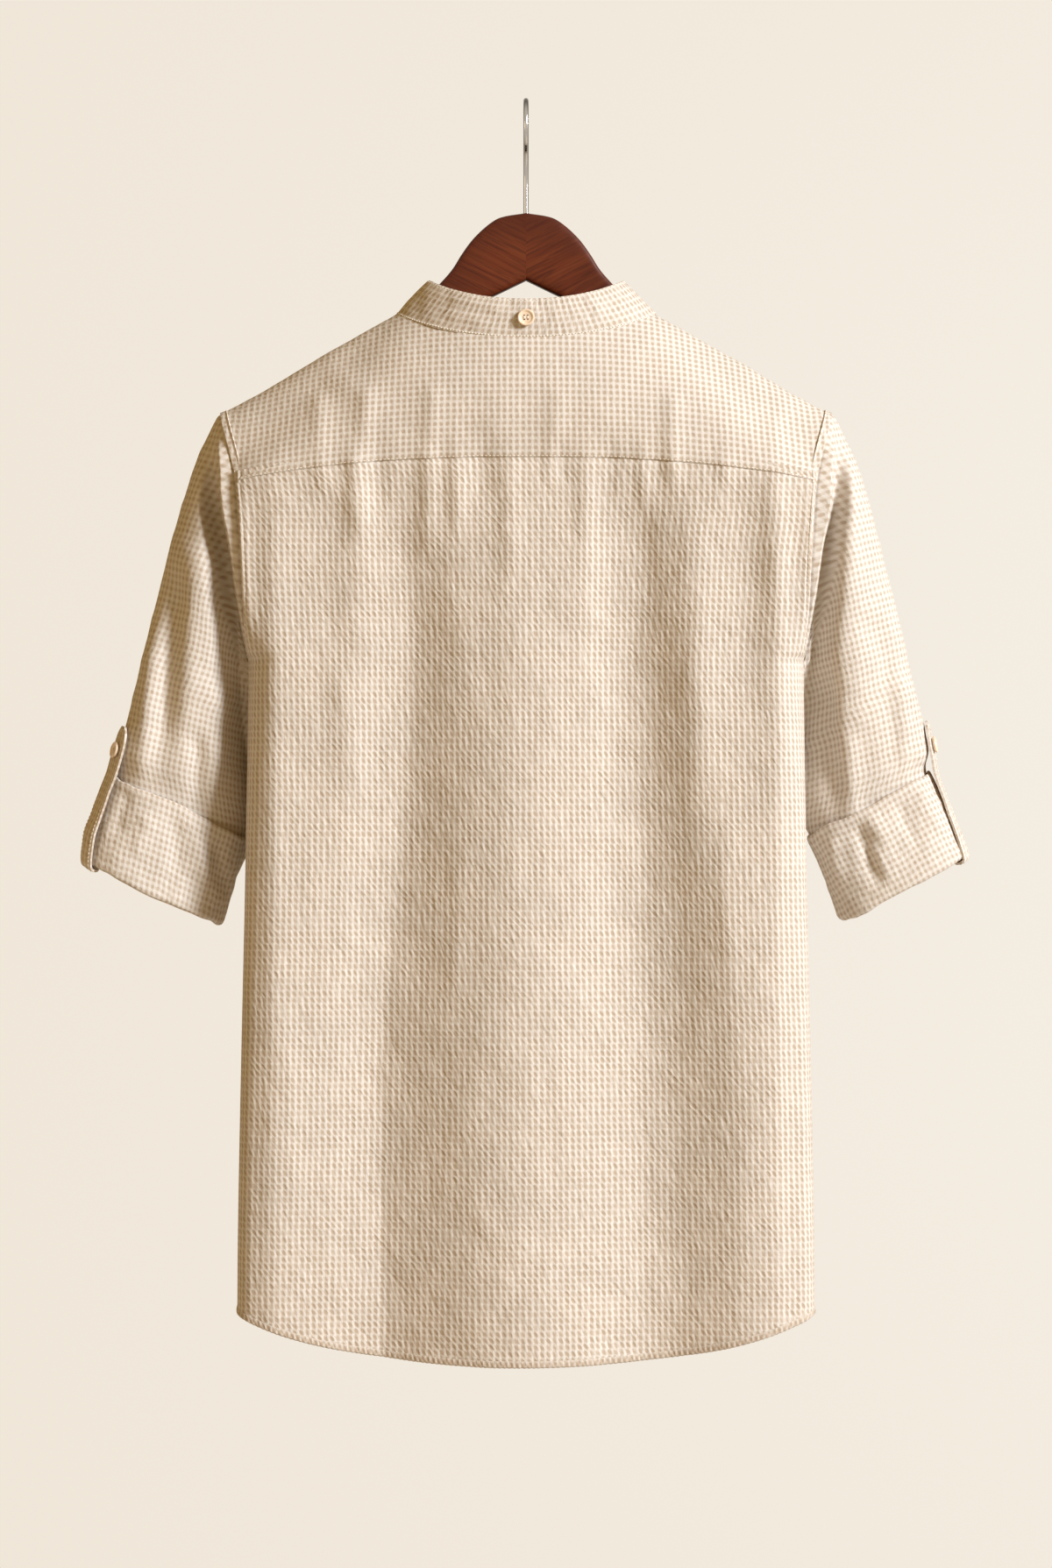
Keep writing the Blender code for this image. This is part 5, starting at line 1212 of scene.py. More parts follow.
def makeSleeve(side, label):
    # the grid starts and ends at the seam under the arm
    turn = math.pi + np.linspace(0, 2 * math.pi, sleeve["columns"] + 1)[:-1]
    edge, across, out = armhole(side, turn), armholeAcross(side, turn), armholeOut(side, turn)
    rings = [edge - across * 0.0050 - out * 0.0026, edge - across * 0.0006 - out * 0.0018,
             edge + across * 0.0050 - out * 0.0004]
    rings += [sleeveRing(side, ring, turn) for ring in sleeveRings]
    rings += [cuffPoint(side, turn, rise, -inset) for rise, inset in sleeve["intoCuff"]]
    points = throughRings(rings, sleeve["rows"], sleeve["early"])
    points[..., 1] = levelStrip(points)
    points[..., 1] += dropBehind(points)
    normals = gridNormals(points, True)
    if np.mean(normals[60:, sleeve["columns"] // 2, 0]) * side < 0:
        normals = -normals
    x, z = points[..., 0], points[..., 2]
    settle = smooth(reach(points, 0) / 0.03)
    height = np.zeros_like(x)
    for facingBack in (1, -1):
        weight = smooth(facingBack * normals[..., 1] / 0.5)
        height += weight * pressCreases(x, z, sleeveCreases[(side, facingBack)])
    height += (crumple(x + 3 * np.sign(normals[..., 1]), z, 0.024, 0.0009, 91 + side)
               * smooth(np.abs(normals[..., 1]) / 0.4))
    height += crumple(x * 0.5 + points[..., 1], z, 0.010, 0.0003, 95 + side)
    points = points + normals * (height * settle)[..., None]
    lean = math.radians(sleeve["lean"][side])
    cut = tubeCut(points, np.array((side * math.sin(lean), 0.0, -math.cos(lean))), sleeve["columns"] // 2)
    normals = gridNormals(points, True)
    if np.mean(normals[60:, sleeve["columns"] // 2, 0]) * side < 0:
        normals = -normals
    piece = clothPiece("sleeve" + label.title(), points, normals, cut, sleeve["wall"],
                       makeCloth("seersuckerSleeve" + label.title(), **sleeve["check"]), closed=True)
    register(piece, "seersucker", "sleeve_" + label)
    return piece, points, normals


cuffCreases = {
    1: ((0.2560, -0.5650, 0.2480, -0.6200, 0.0060, 0.0018, 0.001),
        (0.2700, -0.5500, 0.2750, -0.6150, 0.0065, -0.0018, 0.002),
        (0.2900, -0.5450, 0.3050, -0.5900, 0.0060, 0.0016, 0.001),
        (0.3050, -0.5300, 0.3200, -0.5750, 0.0060, -0.0014, 0.0),
        (0.2400, -0.5700, 0.2330, -0.6250, 0.0055, -0.0014, 0.0)),
    -1: ((-0.2560, -0.5560, -0.2760, -0.6160, 0.0050, -0.0026, 0.002),
         (-0.2640, -0.5700, -0.2860, -0.6080, 0.0035, 0.0016, 0.001),
         (-0.2650, -0.5450, -0.2900, -0.6050, 0.0060, 0.0018, 0.001),
         (-0.2850, -0.5350, -0.3100, -0.5900, 0.0065, -0.0016, 0.001),
         (-0.3050, -0.5250, -0.3250, -0.5700, 0.0060, 0.0014, 0.0),
         (-0.2380, -0.5650, -0.2450, -0.6200, 0.0055, 0.0014, 0.0))}


def makeCuff(side, label):
    turn = math.pi + np.linspace(0, 2 * math.pi, cuff["columns"] + 1)[:-1][None, :]
    height = cuff["height"]
    edgeTop = [(height + 0.0002, -0.0018), (height + 0.0006, -0.0010), (height + 0.0003, -0.0002),
               (height - 0.0008, 0.0003)]
    face = [(rise, 0.0003) for rise in np.linspace(height - 0.0030, 0.0042, cuff["rows"])]
    fold = [(0.0018, 0.0), (0.0006, -0.0009), (0.0, -0.0024), (0.0004, -0.0045), (0.0014, -0.0068)]
    path = np.array(edgeTop + face + fold)
    wave = 0.0022 * wander(1.6 * np.cos(turn), 1.6 * np.sin(turn), 111 + side)
    wave += 0.0012 * wander(4.0 * np.cos(turn), 4.0 * np.sin(turn), 113 + side)
    rise = path[:, :1] + wave * np.where(path[:, :1] > height / 2, 1.0, -0.7)
    points = cuffPoint(side, turn, rise, path[:, 1:])
    out = np.broadcast_to(cuffOut(side, turn), points.shape)
    x, z = points[..., 0], points[..., 2]
    behind = smooth(out[..., 1] / 0.4)
    press = 1.5 * behind * pressCreases(x, z, cuffCreases[side])
    press += (1 - behind) * crumple(x, z, 0.020, 0.0013, 121 + side)
    press += (crumple(x + points[..., 1], z, 0.014, 0.0007, 125 + side)
              + crumple(x - points[..., 1], z, 0.007, 0.0003, 127 + side))
    points = points + out * press[..., None]
    down, across, _ = cuffAxes(side)
    wrapped = np.concatenate([points, points[:, :1]], axis=1)
    girth = reach(np.broadcast_to(wrapped[20:21], wrapped.shape), 1)
    girth = girth - girth[:, cuff["columns"] // 2:cuff["columns"] // 2 + 1]
    length = reach(wrapped, 0)
    square = math.sqrt(1.0 - (down @ across) ** 2)
    cut = np.stack([girth + side * (down @ across) * length, length * square], axis=-1)
    normals = gridNormals(points, True)
    if np.mean(normals[20, :, 1] * out[20, :, 1]) < 0:
        normals = -normals
    piece = clothPiece("cuff" + label.title(), points, normals, cut, cuff["wall"],
                       makeCloth("seersuckerCuff" + label.title(), **cuff["check"]), closed=True)
    register(piece, "seersucker", "cuff_" + label)
    return piece, points, normals


# ---- tabs that hold the cuffs up
# height above the cuff's lower edge, distance off the cuff on the left and right, half width
tabRows = ((0.0200, -0.0088, -0.0088, 0.0105), (0.0080, -0.0088, -0.0088, 0.0105),
           (0.0006, -0.0087, -0.0087, 0.0105), (-0.0022, -0.0074, -0.0074, 0.0105),
           (-0.0031, -0.0046, -0.0046, 0.0105), (-0.0031, -0.0012, -0.0012, 0.0105),
           (-0.0021, 0.0018, 0.0016, 0.0105), (0.0020, 0.0040, 0.0028, 0.0105),
           (0.0110, 0.0062, 0.0034, 0.0105), (0.0240, 0.0074, 0.0036, 0.0105),
           (0.0410, 0.0062, 0.0036, 0.0105), (0.0560, 0.0048, 0.0038, 0.0105),
           (0.0710, 0.0040, 0.0048, 0.0105), (0.0810, 0.0042, 0.0074, 0.0105),
           (0.0905, 0.0046, 0.0094, 0.0105), (0.0985, 0.0052, 0.0112, 0.0100),
           (0.1055, 0.0058, 0.0127, 0.0076), (0.1100, 0.0062, 0.0137, 0.0032))
tab = dict(turn={1: math.radians(16.0), -1: math.radians(9.0)}, buttonRow=14, curl=0.030, wall=0.0018,
           rows=90, columns=14,
           check=dict(WarpPitch=0.0046, WeftPitch=0.00505, LineWidth=0.56, BandWidth=0.50, Base=0.44,
                      LineTone=0.36, BandTone=0.16, DotTone=0.26, Slant=0.10, Pucker=0.00024,
                      Crinkle=0.0004))


def makeTab(side, label):
    rows = np.array(tabRows)
    off = rows[:, 1] if side > 0 else rows[:, 2]
    keys = np.concatenate([[0.0], np.cumsum(np.hypot(np.diff(rows[:, 0]), np.diff(off)))])
    at = np.linspace(0, keys[-1], tab["rows"] + 1)
    rise, off, half = curveAt(keys, np.stack([rows[:, 0], off, rows[:, 3]], axis=-1), at).T
    buttonAt = int(np.argmin(np.abs(rise - tabRows[tab["buttonRow"]][0])))
    share = np.linspace(-1, 1, tab["columns"] + 1)[None, :]
    rise, off, half = rise[:, None], off[:, None], half[:, None]
    middle = tab["turn"][side]
    turn = middle + share * half / (tab["curl"] + np.maximum(0.0, off))
    curved = cuffPoint(side, turn, rise, off)
    outMiddle = cuffOut(side, np.array(middle))
    along = unit(np.cross(outMiddle, cuffAxes(side)[0]))
    along = along * np.sign(along[1])
    straight = cuffPoint(side, middle, rise, off) + along * (share * half)[..., None]
    points = mix(curved, straight, smooth(rise / 0.06)[..., None])
    normals = gridNormals(points)
    if normals[buttonAt, tab["columns"] // 2] @ outMiddle < 0:
        normals = -normals
    length = reach(points, 0)
    crown = 0.0004 * smooth((1 - np.abs(share)) * half / 0.0022) - 0.0004
    crown = crown + 0.0003 * wander(length / 0.012, share * 1.3 + 2, 131 + side)
    points = points + normals * crown[..., None]
    cut = np.stack([share * half + 0.0004 * side, length], axis=-1)
    piece = clothPiece("tab" + label.title(), points, normals, cut, tab["wall"],
                       makeCloth("seersuckerTab" + label.title(), **tab["check"]))
    register(piece, "seersucker", "tab_" + label)
    centre = tab["columns"] // 2
    return piece, points, normals, points[buttonAt, centre], normals[buttonAt, centre]


sleeves, cuffPieces, tabs = {}, {}, {}
for side, label in ((1, "left"), (-1, "right")):
    sleeves[label] = makeSleeve(side, label)
    cuffPieces[label] = makeCuff(side, label)
    tabs[label] = makeTab(side, label)
print("sleeves, cuffs and tabs ready")

# ---- hems: a rolled edge drawn into slanting ridges by its close stitches
hem = dict(depth=0.0048, wall=0.0018, ridge=0.0038, slant=0.0022, rise=0.00045, rows=9, step=0.0006)


def makeHem(name, node, points, normals, outward, seed):
    line, out = points[-1], normals[-1]
    far = np.concatenate([[0.0], np.cumsum(np.linalg.norm(np.diff(line, axis=0), axis=1))])
    count = int(far[-1] / hem["step"])
    at = np.linspace(0, far[-1], count)
    line = np.stack([np.interp(at, far, line[:, k]) for k in range(3)], axis=-1)
    out = unit(np.stack([np.interp(at, far, out[:, k]) for k in range(3)], axis=-1))
    down = np.linspace(-0.10, 1.0, hem["rows"])[:, None]
    drift = 0.35 * wander(at / 0.02, at * 0 + 0.5, seed)
    phase = (at[None, :] * outward + down * hem["slant"]) / hem["ridge"] + drift
    ridge = 0.5 + 0.5 * np.cos(2 * math.pi * phase)
    ridge = ridge ** 0.7 * (0.8 + 0.3 * wander(np.floor(phase) + 0.5, phase * 0 + 0.5, seed + 1))
    belly = np.sin(math.pi * np.clip(down, 0, 1)) ** 0.5
    stand = (hem["wall"] - body["wall"]) / 2 + hem["rise"] * (ridge - 0.4) * (0.4 + 0.6 * belly)
    stand = stand + 0.0003 * belly - 0.0002
    stand = stand - 0.0009 * smooth((down - 0.86) / 0.14)
    lower = (line[None] + np.array((0, 0, -1.0))
             * (down * hem["depth"] + 0.0004 * ridge * (down > 0.9))[..., None])
    hemPoints = lower + out[None] * stand[..., None]
    outs = np.broadcast_to(out, hemPoints.shape)
    cut = np.stack([np.broadcast_to(at, stand.shape) - far[-1] / 2, -down * hem["depth"] + 0 * stand],
                   axis=-1)
    piece = clothPiece(name, hemPoints, outs, cut, hem["wall"],
                       makeCloth("seersucker" + name[0].upper() + name[1:], **hemCheck))
    register(piece, "seersucker", node)
    return piece


hemCheck = dict(WarpPitch=0.00472, WeftPitch=0.0051, LineWidth=0.25, BandWidth=0.30, Base=0.40, LineTone=0.30,
                BandTone=0.10, DotTone=0.40, Pucker=0.0002)
hemBack = makeHem("hemBack", "hem_back", backPoints, backNormals, 1.0, 141)
hemFront = makeHem("hemFront", "hem_front", frontPoints, frontNormals, -1.0, 151)
print("hems ready")

# ---- buttons: turned rims, four holes, and the threads that hold them
button = dict(radius=0.0065, thick=0.0024, holeRadius=0.00080, holeOff=0.00135, steps=64, thread=0.00034)
# shares of the radius and of the thickness, from the middle of the face round to the middle of the underside
buttonProfile = ((0.0, 0.60), (0.30, 0.60), (0.55, 0.62), (0.66, 0.68), (0.73, 0.84), (0.79, 0.96),
                 (0.86, 1.0), (0.93, 0.98), (0.98, 0.86), (1.0, 0.66), (0.995, 0.45), (0.97, 0.25),
                 (0.91, 0.08), (0.82, 0.0), (0.40, 0.0), (0.0, 0.0))


def makeButtonMesh():
    steps = button["steps"]
    mesh = bmesh.new()
    rings = []
    for share, height in buttonProfile:
        count = 1 if share == 0.0 else steps
        rings.append([mesh.verts.new((button["radius"] * share * math.cos(2 * math.pi * k / steps),
                                      button["radius"] * share * math.sin(2 * math.pi * k / steps),
                                      button["thick"] * height)) for k in range(count)])
    for upper, lower in zip(rings, rings[1:]):
        for k in range(steps):
            m = (k + 1) % steps
            corners = [upper[k % len(upper)], lower[k % len(lower)], lower[m % len(lower)],
                       upper[m % len(upper)]]
            mesh.faces.new([v for n, v in enumerate(corners) if v not in corners[:n]])
    bmesh.ops.recalc_face_normals(mesh, faces=mesh.faces)
    blank = bpy.data.meshes.new("buttonBlank")
    mesh.to_mesh(blank)
    mesh.free()
    drills = bmesh.new()
    for x in (-1, 1):
        for y in (-1, 1):
            place = Matrix.Translation((x * button["holeOff"], y * button["holeOff"], button["thick"] / 2))
            bmesh.ops.create_cone(drills, cap_ends=True, segments=20, radius1=button["holeRadius"],
                                  radius2=button["holeRadius"], depth=button["thick"] * 3, matrix=place)
    cutterMesh = bpy.data.meshes.new("buttonDrills")
    drills.to_mesh(cutterMesh)
    drills.free()
    whole, cutter = (bpy.data.objects.new(m.name, m) for m in (blank, cutterMesh))
    for item in (whole, cutter):
        bpy.context.scene.collection.objects.link(item)
    cut = whole.modifiers.new("holes", "BOOLEAN")
    cut.operation, cut.object, cut.solver = "DIFFERENCE", cutter, "EXACT"
    done = bpy.data.meshes.new_from_object(whole.evaluated_get(bpy.context.evaluated_depsgraph_get()))
    done.name = "buttonShape"
    for item in (whole, cutter):
        bpy.data.objects.remove(item)
    done.materials.clear()
    done.materials.append(buttonResin)
    done.shade_smooth()
    done.set_sharp_from_angle(angle=math.radians(35.0))
    return done


buttonShape = makeButtonMesh()
buttonThreads = Seam("buttonThreads")


# turn is how the holes stand: 0 puts the thread bars upright
def sewButton(name, node, place, out, turn=0.0, tilt=(0.0, 0.0)):
    out = Vector(unit(np.array(out) + np.array((tilt[0], 0.0, tilt[1]))))
    up = Vector((0, 0, 1))
    right = up.cross(out).normalized()
    rotation = Matrix((right, out.cross(right), out)).transposed() @ Matrix.Rotation(turn, 3, "Z")
    mesh = buttonShape.copy()
    mesh.transform(Matrix.Translation(Vector(place)) @ rotation.to_4x4())
    piece = bpy.data.objects.new(name, mesh)
    bpy.context.scene.collection.objects.link(piece)
    register(piece, "button_resin", node)
    off, face = button["holeOff"], button["thick"] * 0.60
    at = lambda x, y, z: np.array(Vector(place) + rotation @ Vector((x, y, z)))
    for x in (-1, 1):
        for strand in (-0.5, 0.5):
            side = x * off + strand * button["thread"] * 1.5
            a, b = at(side, -off * 0.95, face), at(side, off * 0.95, face)
            buttonThreads.add(a, b, np.array(out), button["thread"],
                              ((0.0, 0.9, -1.6), (0.18, 1.0, 0.1), (0.5, 1.0, 0.5),
                                                                   (0.82, 1.0, 0.1), (1.0, 0.9, -1.6)))
    return piece


def surfaceAt(points, normals, x, z):
    flat = points.reshape(-1, 3)
    k = int(np.argmin((flat[:, 0] - x) ** 2 + (flat[:, 2] - z) ** 2))
    return flat[k], normals.reshape(-1, 3)[k]


middleColumn = bandPoints.shape[1] // 2
backPlace, backOut = surfaceAt(bandPoints[:, middleColumn - 20:middleColumn + 20],
                               bandNormals[:, middleColumn - 20:middleColumn + 20], 0.0006, -0.1716)
sewButton("collarBackButton", "collar_back_button", backPlace + backOut * 0.0009, backOut, 0.03)
frontPlace, frontOut = surfaceAt(bandPoints[:, :16], bandNormals[:, :16], 0.0, -0.2195)
sewButton("collarFrontButton", "collar_front_button", frontPlace + frontOut * 0.0008, frontOut, -0.2)
for number, z in enumerate(placket["buttonLevels"], start=1):
    place, out = surfaceAt(placketPoints, placketNormals, 0.0, z)
    sewButton("placketButton%d" % number, "placket_button_%d" % number, place + out * 0.0006, out,
              0.3 * number)
for label in ("left", "right"):
    piece, points, normals, place, out = tabs[label]
    sewButton("tabButton" + label.title(), "tab_button_" + label, place + out * 0.0007, out, 0.4)
buttonThreads.finish()
print("buttons ready")

# ---- stitching
yokeStitches = Seam("yokeStitches")
line, out = insetLine(yokePoints, yokeNormals, "bottom", 0.0012)
onSeam = slice(yoke["frontColumns"] + yoke["sideColumns"] - 2,
               -(yoke["frontColumns"] + yoke["sideColumns"] - 2))
yokeStitches.run(line[onSeam], out[onSeam], radius=0.00028)
yokeStitches.finish()

collarStitches = Seam("collarStitches")
line, out = insetLine(bandPoints, bandNormals, "bottom", 0.0014)
collarStitches.run(line, out, length=0.0019, gap=0.0006, radius=0.00042)
line, out = insetLine(bandPoints, bandNormals, "top", 0.0016)
collarStitches.run(line, out, length=0.0021, gap=0.0008, radius=0.00024)
collarStitches.finish()

armStitches = Seam("armholeStitches")
armRows = int(np.argmin(np.abs(backPoints[:, -1, 2] - body["armpitZ"])))
armRowsFront = int(np.argmin(np.abs(frontPoints[:, -1, 2] - body["armpitZ"])))
armColumns = yoke["frontColumns"] + yoke["sideColumns"]
for distance, radius in ((body["fellWidth"], 0.00022),):
    for edge in ("left", "right"):
        line, out = insetLine(backPoints[3:armRows], backNormals[3:armRows], edge, distance)
        armStitches.run(line, out, radius=radius)
        line, out = insetLine(frontPoints[3:armRowsFront], frontNormals[3:armRowsFront], edge, distance)
        armStitches.run(line, out, radius=radius)
    line, out = insetLine(yokePoints, yokeNormals, "bottom", distance)
    armStitches.run(line[:armColumns - 1], out[:armColumns - 1], radius=radius)
    armStitches.run(line[-armColumns + 1:], out[-armColumns + 1:], radius=radius)
armStitches.finish()

placketStitches = Seam("placketStitches")
for edge in ("left", "right"):
    line, out = insetLine(placketPoints, placketNormals, edge, 0.0020)
    placketStitches.run(line, out)
for distance in (0.0020, 0.0140):
    line, out = insetLine(placketPoints, placketNormals, "bottom", distance)
    placketStitches.run(line[1:-1], out[1:-1])
# buttonholes: two close rows of short threads
for z in placket["buttonLevels"]:
    for x in (-0.0008, 0.0008):
        for k in range(26):
            level = z + (k / 25 - 0.5) * placket["buttonhole"]
            place, out = surfaceAt(placketPoints, placketNormals, x, level)
            place = np.array((x, place[1], level))
            placketStitches.add(place - (0.0006, 0, 0), place + (0.0006, 0, 0), out, 0.00024)
placketStitches.finish()

cuffStitches = Seam("tabStitches")
for label in ("left", "right"):
    piece, points, normals, place, out = tabs[label]
    outline = []
    for edge in ("left", "right"):
        outline.append(insetLine(points[:-4], normals[:-4], edge, 0.0022))
    tip = insetLine(points[:, 3:-3], normals[:, 3:-3], "bottom", 0.0026)
    loop = np.concatenate([outline[0][0], tip[0], outline[1][0][::-1]])
    outs = np.concatenate([outline[0][1], tip[1], outline[1][1][::-1]])
    cuffStitches.run(loop, outs, radius=0.00028)
cuffStitches.finish()
print("stitching ready")

# ---- hanger: each half swept from the middle joint out to its tip
hanger = dict(thick=0.0130, tipX=0.2180, clear=0.0021, sink=0.0060, sinkOver=0.25, armHeight=0.0220,
              armTipHeight=0.0190, gap=0.0, neckSteps=60, armSteps=44, sides=48, square=0.42)
# upper and lower edge from the centre to where the shoulder covers it
hangerNeck = ((0.0000, -0.0853, -0.1377), (0.0200, -0.0889, -0.1474), (0.0300, -0.0950, -0.1522),
              (0.0415, -0.1060, -0.1585), (0.0500, -0.1176, -0.1628), (0.0567, -0.1284, -0.1663),
              (0.0645, -0.1377, -0.1703), (0.0790, -0.1527, -0.1778), (0.0930, -0.1650, -0.1852))


def makeHanger(side, label):
    xs, tops, bottoms = (np.array([row[k] for row in hangerNeck]) for k in range(3))
    x = np.linspace(0.0, xs[-1], hanger["neckSteps"] + 1)
    top, bottom = curveAt(xs, tops, x), curveAt(xs, bottoms, x)
    share = np.arange(1, hanger["armSteps"] + 1) / hanger["armSteps"]
    armX = mix(xs[-1], hanger["tipX"], share)
    slope = (armX - collar["neckX"]) / (body["shoulderX"] - collar["neckX"])
    armTop = mix(collar["neckZ"], body["shoulderZ"], slope)
    armTop += yoke["swellSide"] * 4 * np.maximum(0, slope) * (1 - slope) - hanger["clear"] - 0.0006 * share
    # the arms sink below the cloth they carry
    armTop -= hanger["sink"] * (0.5 - 0.5 * np.cos(math.pi * np.minimum(1.0, share / hanger["sinkOver"])))
    armBottom = armTop - mix(hanger["armHeight"], hanger["armTipHeight"], share ** 3)
    tipX = armX[-1] + np.array((0.0014, 0.0026, 0.0033, 0.0036))
    tipTop = armTop[-1] - np.array((0.0010, 0.0026, 0.0048, 0.0070))
    tipBottom = armBottom[-1] + np.array((0.0006, 0.0016, 0.0032, 0.0050))
    x = np.concatenate([x, armX, tipX])
    top, bottom = np.concatenate([top, armTop, tipTop]), np.concatenate([bottom, armBottom, tipBottom])
    half = np.full_like(x, hanger["thick"] / 2)
    half[-4:] *= (0.96, 0.88, 0.74, 0.55)
    x[0] = hanger["gap"]
    angle = 2 * math.pi * (np.arange(hanger["sides"]) + 0.5) / hanger["sides"]
    y = half[:, None] * signedPower(np.cos(angle), hanger["square"])
    z = (((top + bottom) / 2)[:, None]
         + ((top - bottom) / 2)[:, None] * signedPower(np.sin(angle), hanger["square"]))
    points = stack(side * x[:, None], y, z)
    rows, sides = points.shape[:2]
    j, k = (a.ravel() for a in np.meshgrid(np.arange(rows - 1), np.arange(sides), indexing="ij"))
    m = (k + 1) % sides
    faces = np.stack([j * sides + k, j * sides + m, (j + 1) * sides + m, (j + 1) * sides + k],
                     axis=1).tolist()
    faces += [list(range(sides))[::-1], list(range((rows - 1) * sides, rows * sides))]
    if side < 0:
        faces = [face[::-1] for face in faces]
    piece = plainMesh("hangerHalf" + label.title(), points.reshape(-1, 3), faces, makeWood(side), sharp=60.0)
    return register(piece, "hanger_wood", "hanger_half_" + label)


makeHanger(1, "left")
makeHanger(-1, "right")

# ---- hook: bent wire
hook = dict(wire=0.0020, radius=0.0210, end=math.radians(203.0), turn=math.radians(50.0), bend=0.0378,
            sides=20, steps=72,
            tip=((0.0008, 0.92), (0.0015, 0.70), (0.0019, 0.35)))     # tip: how far on, share of radius


def makeHook():
    centreZ = hook["wire"] - hook["radius"]
    reachY = hook["radius"] * math.cos(hook["turn"])
    reachZ = centreZ - hook["radius"] * math.sin(hook["turn"])
    bendY = reachY - hook["bend"] * (1 - math.cos(hook["turn"]))
    stemZ = reachZ - hook["bend"] * math.sin(hook["turn"])
    foot = hangerNeck[0][1] - 0.002
    path = [(bendY, mix(foot, stemZ, t)) for t in np.linspace(0, 0.94, 8)]
    for angle in np.linspace(0, hook["turn"], 16):
        path.append((bendY + hook["bend"] * (1 - math.cos(angle)), stemZ + hook["bend"] * math.sin(angle)))
    for angle in np.linspace(-hook["turn"], hook["end"], hook["steps"])[1:]:
        path.append((hook["radius"] * math.cos(angle), centreZ + hook["radius"] * math.sin(angle)))
    path = np.array(path)
    along = unit(np.gradient(path, axis=0))
    sides = hook["sides"]
    rings = []
    for n, (y, z) in enumerate(path):
        side = np.array((0.0, -along[n, 1], along[n, 0]))
        for k in range(sides):
            angle = 2 * math.pi * k / sides
            rings.append(np.array((0.0, y, z)) + hook["wire"]
                         * (np.array((1.0, 0, 0)) * math.cos(angle) + side * math.sin(angle)))
    end = np.array((0.0, along[-1, 0], along[-1, 1]))
    for push, share in hook["tip"]:
        middle = np.array((0.0, *path[-1]))
        rings += [middle + end * push + (rings[(len(path) - 1) * sides + k] - middle) * share
                  for k in range(sides)]
    count = len(rings) // sides
    faces = [[j * sides + k, j * sides + (k + 1) % sides, (j + 1) * sides + (k + 1) % sides,
              (j + 1) * sides + k]
             for j in range(count - 1) for k in range(sides)]
    faces += [list(range(sides))[::-1], list(range((count - 1) * sides, count * sides))]
    piece = plainMesh("hookWire", np.array(rings), faces, hookSteel, sharp=60.0)
    return register(piece, "hook_steel", "hook")


makeHook()
print("hanger and hook ready")

# ---- floor, light and camera
studio = dict(key=605.0, keyColour=(0.90, 0.945, 1.0), keyTurn=math.radians(55.5), keyRise=math.radians(24.0),
              keyFar=6.0, keySize=1.90, fill=9.0, fillColour=(1.0, 0.77, 0.46), floorZ=-1.75, floorRadius=3.0,
              wall=(0.862, 0.787, 0.683), wallBright=(0.912, 0.855, 0.765), ambient=0.33,
              ambientColour=(1.0, 0.62, 0.17),
              aimZ=-0.50)


def makeFloor():
    ring = [(studio["floorRadius"] * math.cos(2 * math.pi * k / 96),
             studio["floorRadius"] * math.sin(2 * math.pi * k / 96),
             studio["floorZ"]) for k in range(96)]
    material, tree, shader = newMaterial("paleFloor")
    place = addNode(tree, "ShaderNodeTexCoord").outputs["Object"]
    shader.inputs["Base Color"].default_value = (0.80, 0.76, 0.70, 1.0)
    shader.inputs["Roughness"].default_value = 0.9
    length = addNode(tree, "ShaderNodeVectorMath", operation="LENGTH")
    flat = vectorSums(tree, "MULTIPLY", place, (1.0, 1.0, 0.0))
    tree.links.new(flat, length.inputs[0])
    plug(tree, ramp(tree, length.outputs["Value"], 0.45 * studio["floorRadius"],
                    0.98 * studio["floorRadius"], 1.0, 0.0),
         shader.inputs["Alpha"])
    floor = plainMesh("floor", np.array(ring), [list(range(96))], material)
    floor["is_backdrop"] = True


def softbox(name, turn, rise, far, size, power, colour):
    data = bpy.data.lights.new(name, "AREA")
    data.shape, data.size, data.energy, data.color = "DISK", size, power, colour
    lamp = bpy.data.objects.new(name, data)
    aim = Vector((0, 0, studio["aimZ"]))
    way = Vector((-math.sin(turn) * math.cos(rise), math.cos(turn) * math.cos(rise), math.sin(rise)))
    lamp.location = aim + way * far
    lamp.rotation_euler = way.to_track_quat("Z", "Y").to_euler()
    bpy.context.scene.collection.objects.link(lamp)


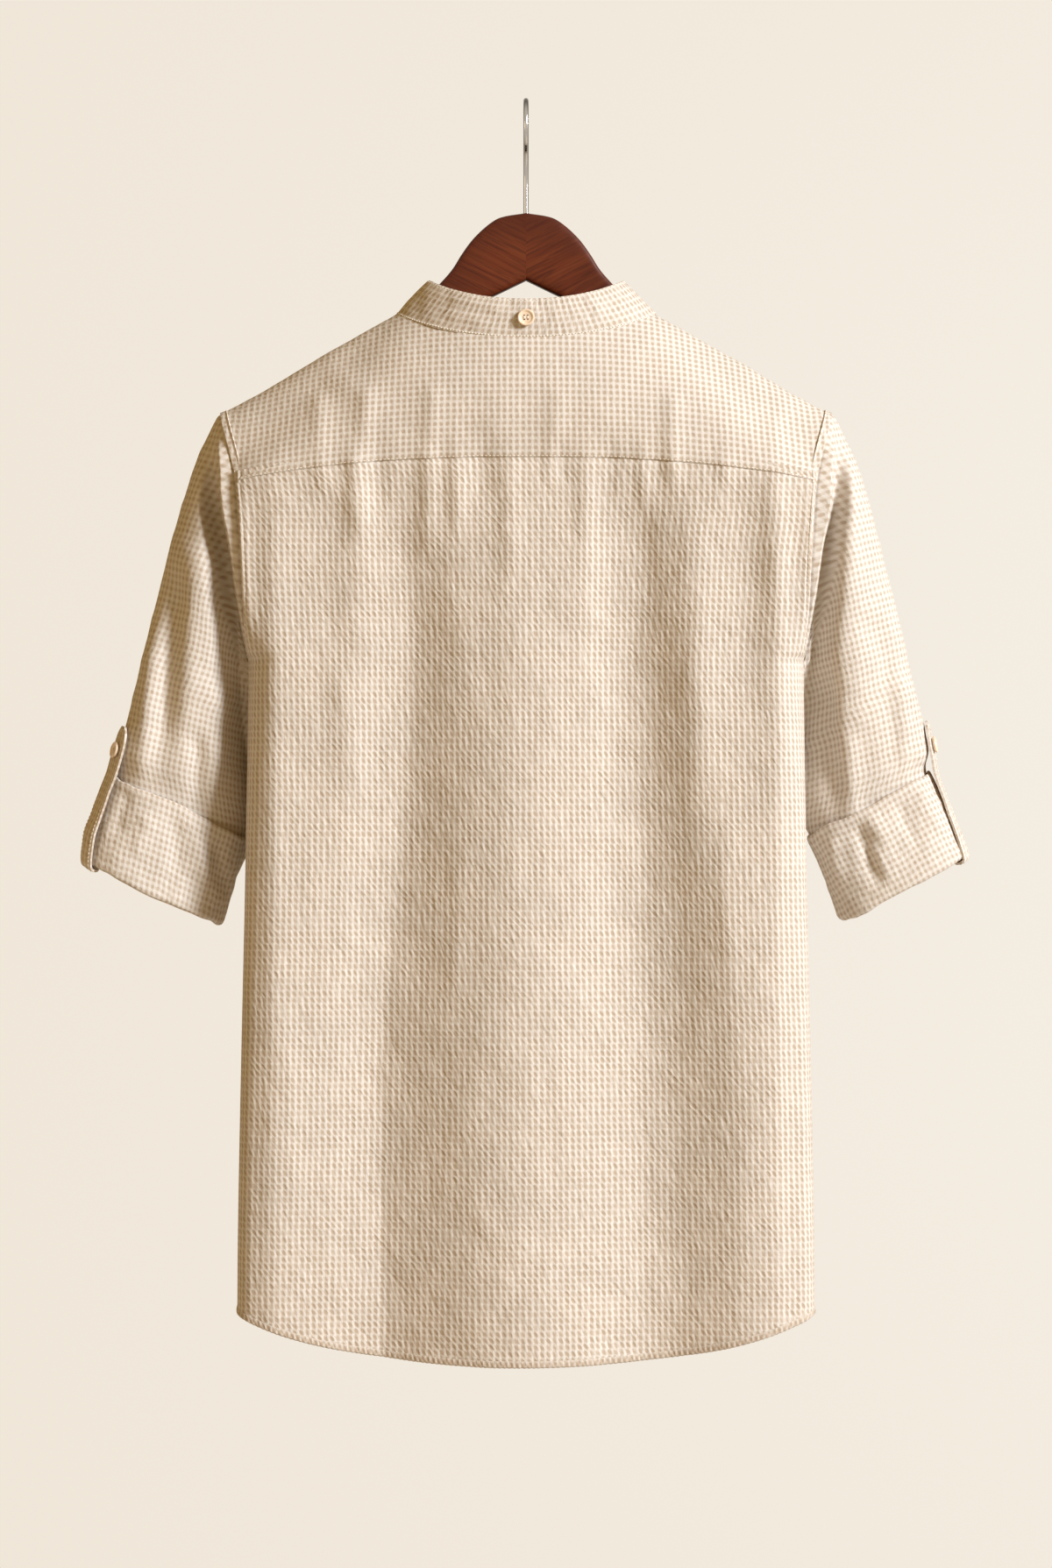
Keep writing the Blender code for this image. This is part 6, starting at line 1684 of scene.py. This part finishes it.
def makeWorld():
    world = bpy.data.worlds.new("creamStudio")
    world.use_nodes = True
    tree = world.node_tree
    ground = tree.nodes["Background"]
    ground.inputs["Color"].default_value = (*studio["ambientColour"], 1.0)
    ground.inputs["Strength"].default_value = studio["ambient"]
    # painted light: the backdrop is brighter on the key light's side and near eye level, dimmer above and
    # below
    part = addNode(tree, "ShaderNodeSeparateXYZ")
    plug(tree, addNode(tree, "ShaderNodeTexCoord").outputs["Generated"], part.inputs[0])
    bright = ramp(tree, part.outputs[0], -0.30, 0.30, 1.0, 0.0)
    level = ramp(tree, sums(tree, "ABSOLUTE", part.outputs[2]), 0.05, 0.40, 1.0, 0.25)
    seen = addNode(tree, "ShaderNodeBackground")
    plug(tree, mixColour(tree, sums(tree, "MULTIPLY", bright, level), (*studio["wall"], 1.0),
                         (*studio["wallBright"], 1.0)),
         seen.inputs["Color"])
    choose = addNode(tree, "ShaderNodeMixShader")
    path = addNode(tree, "ShaderNodeLightPath")
    plug(tree, sums(tree, "MAXIMUM", path.outputs["Is Camera Ray"], path.outputs["Is Glossy Ray"]),
         choose.inputs[0])
    tree.links.new(ground.outputs[0], choose.inputs[1])
    tree.links.new(seen.outputs[0], choose.inputs[2])
    tree.links.new(choose.outputs[0], tree.nodes["World Output"].inputs["Surface"])
    bpy.context.scene.world = world


makeFloor()
makeWorld()
softbox("keyLight", studio["keyTurn"], studio["keyRise"], studio["keyFar"], studio["keySize"],
        studio["key"], studio["keyColour"])
softbox("fillLight", math.radians(-50.0), math.radians(10.0), 3.2, 1.6, studio["fill"], studio["fillColour"])

camera = dict(far=3.0, z=-0.528, lens=88.78)
cameraData = bpy.data.cameras.new("camera")
cameraData.lens, cameraData.sensor_width, cameraData.sensor_fit = camera["lens"], 36.0, "AUTO"
cameraData.clip_end = 50.0
eye = bpy.data.objects.new("camera", cameraData)
eye.location = (0.0, camera["far"], camera["z"])
eye.rotation_euler = (math.radians(90.0), 0.0, math.radians(180.0))
bpy.context.scene.collection.objects.link(eye)
bpy.context.scene.camera = eye
bpy.context.scene.view_settings.view_transform = "Standard"
print("studio ready")

[[list(corner) for corner in box] for box in (cadBounds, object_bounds())]
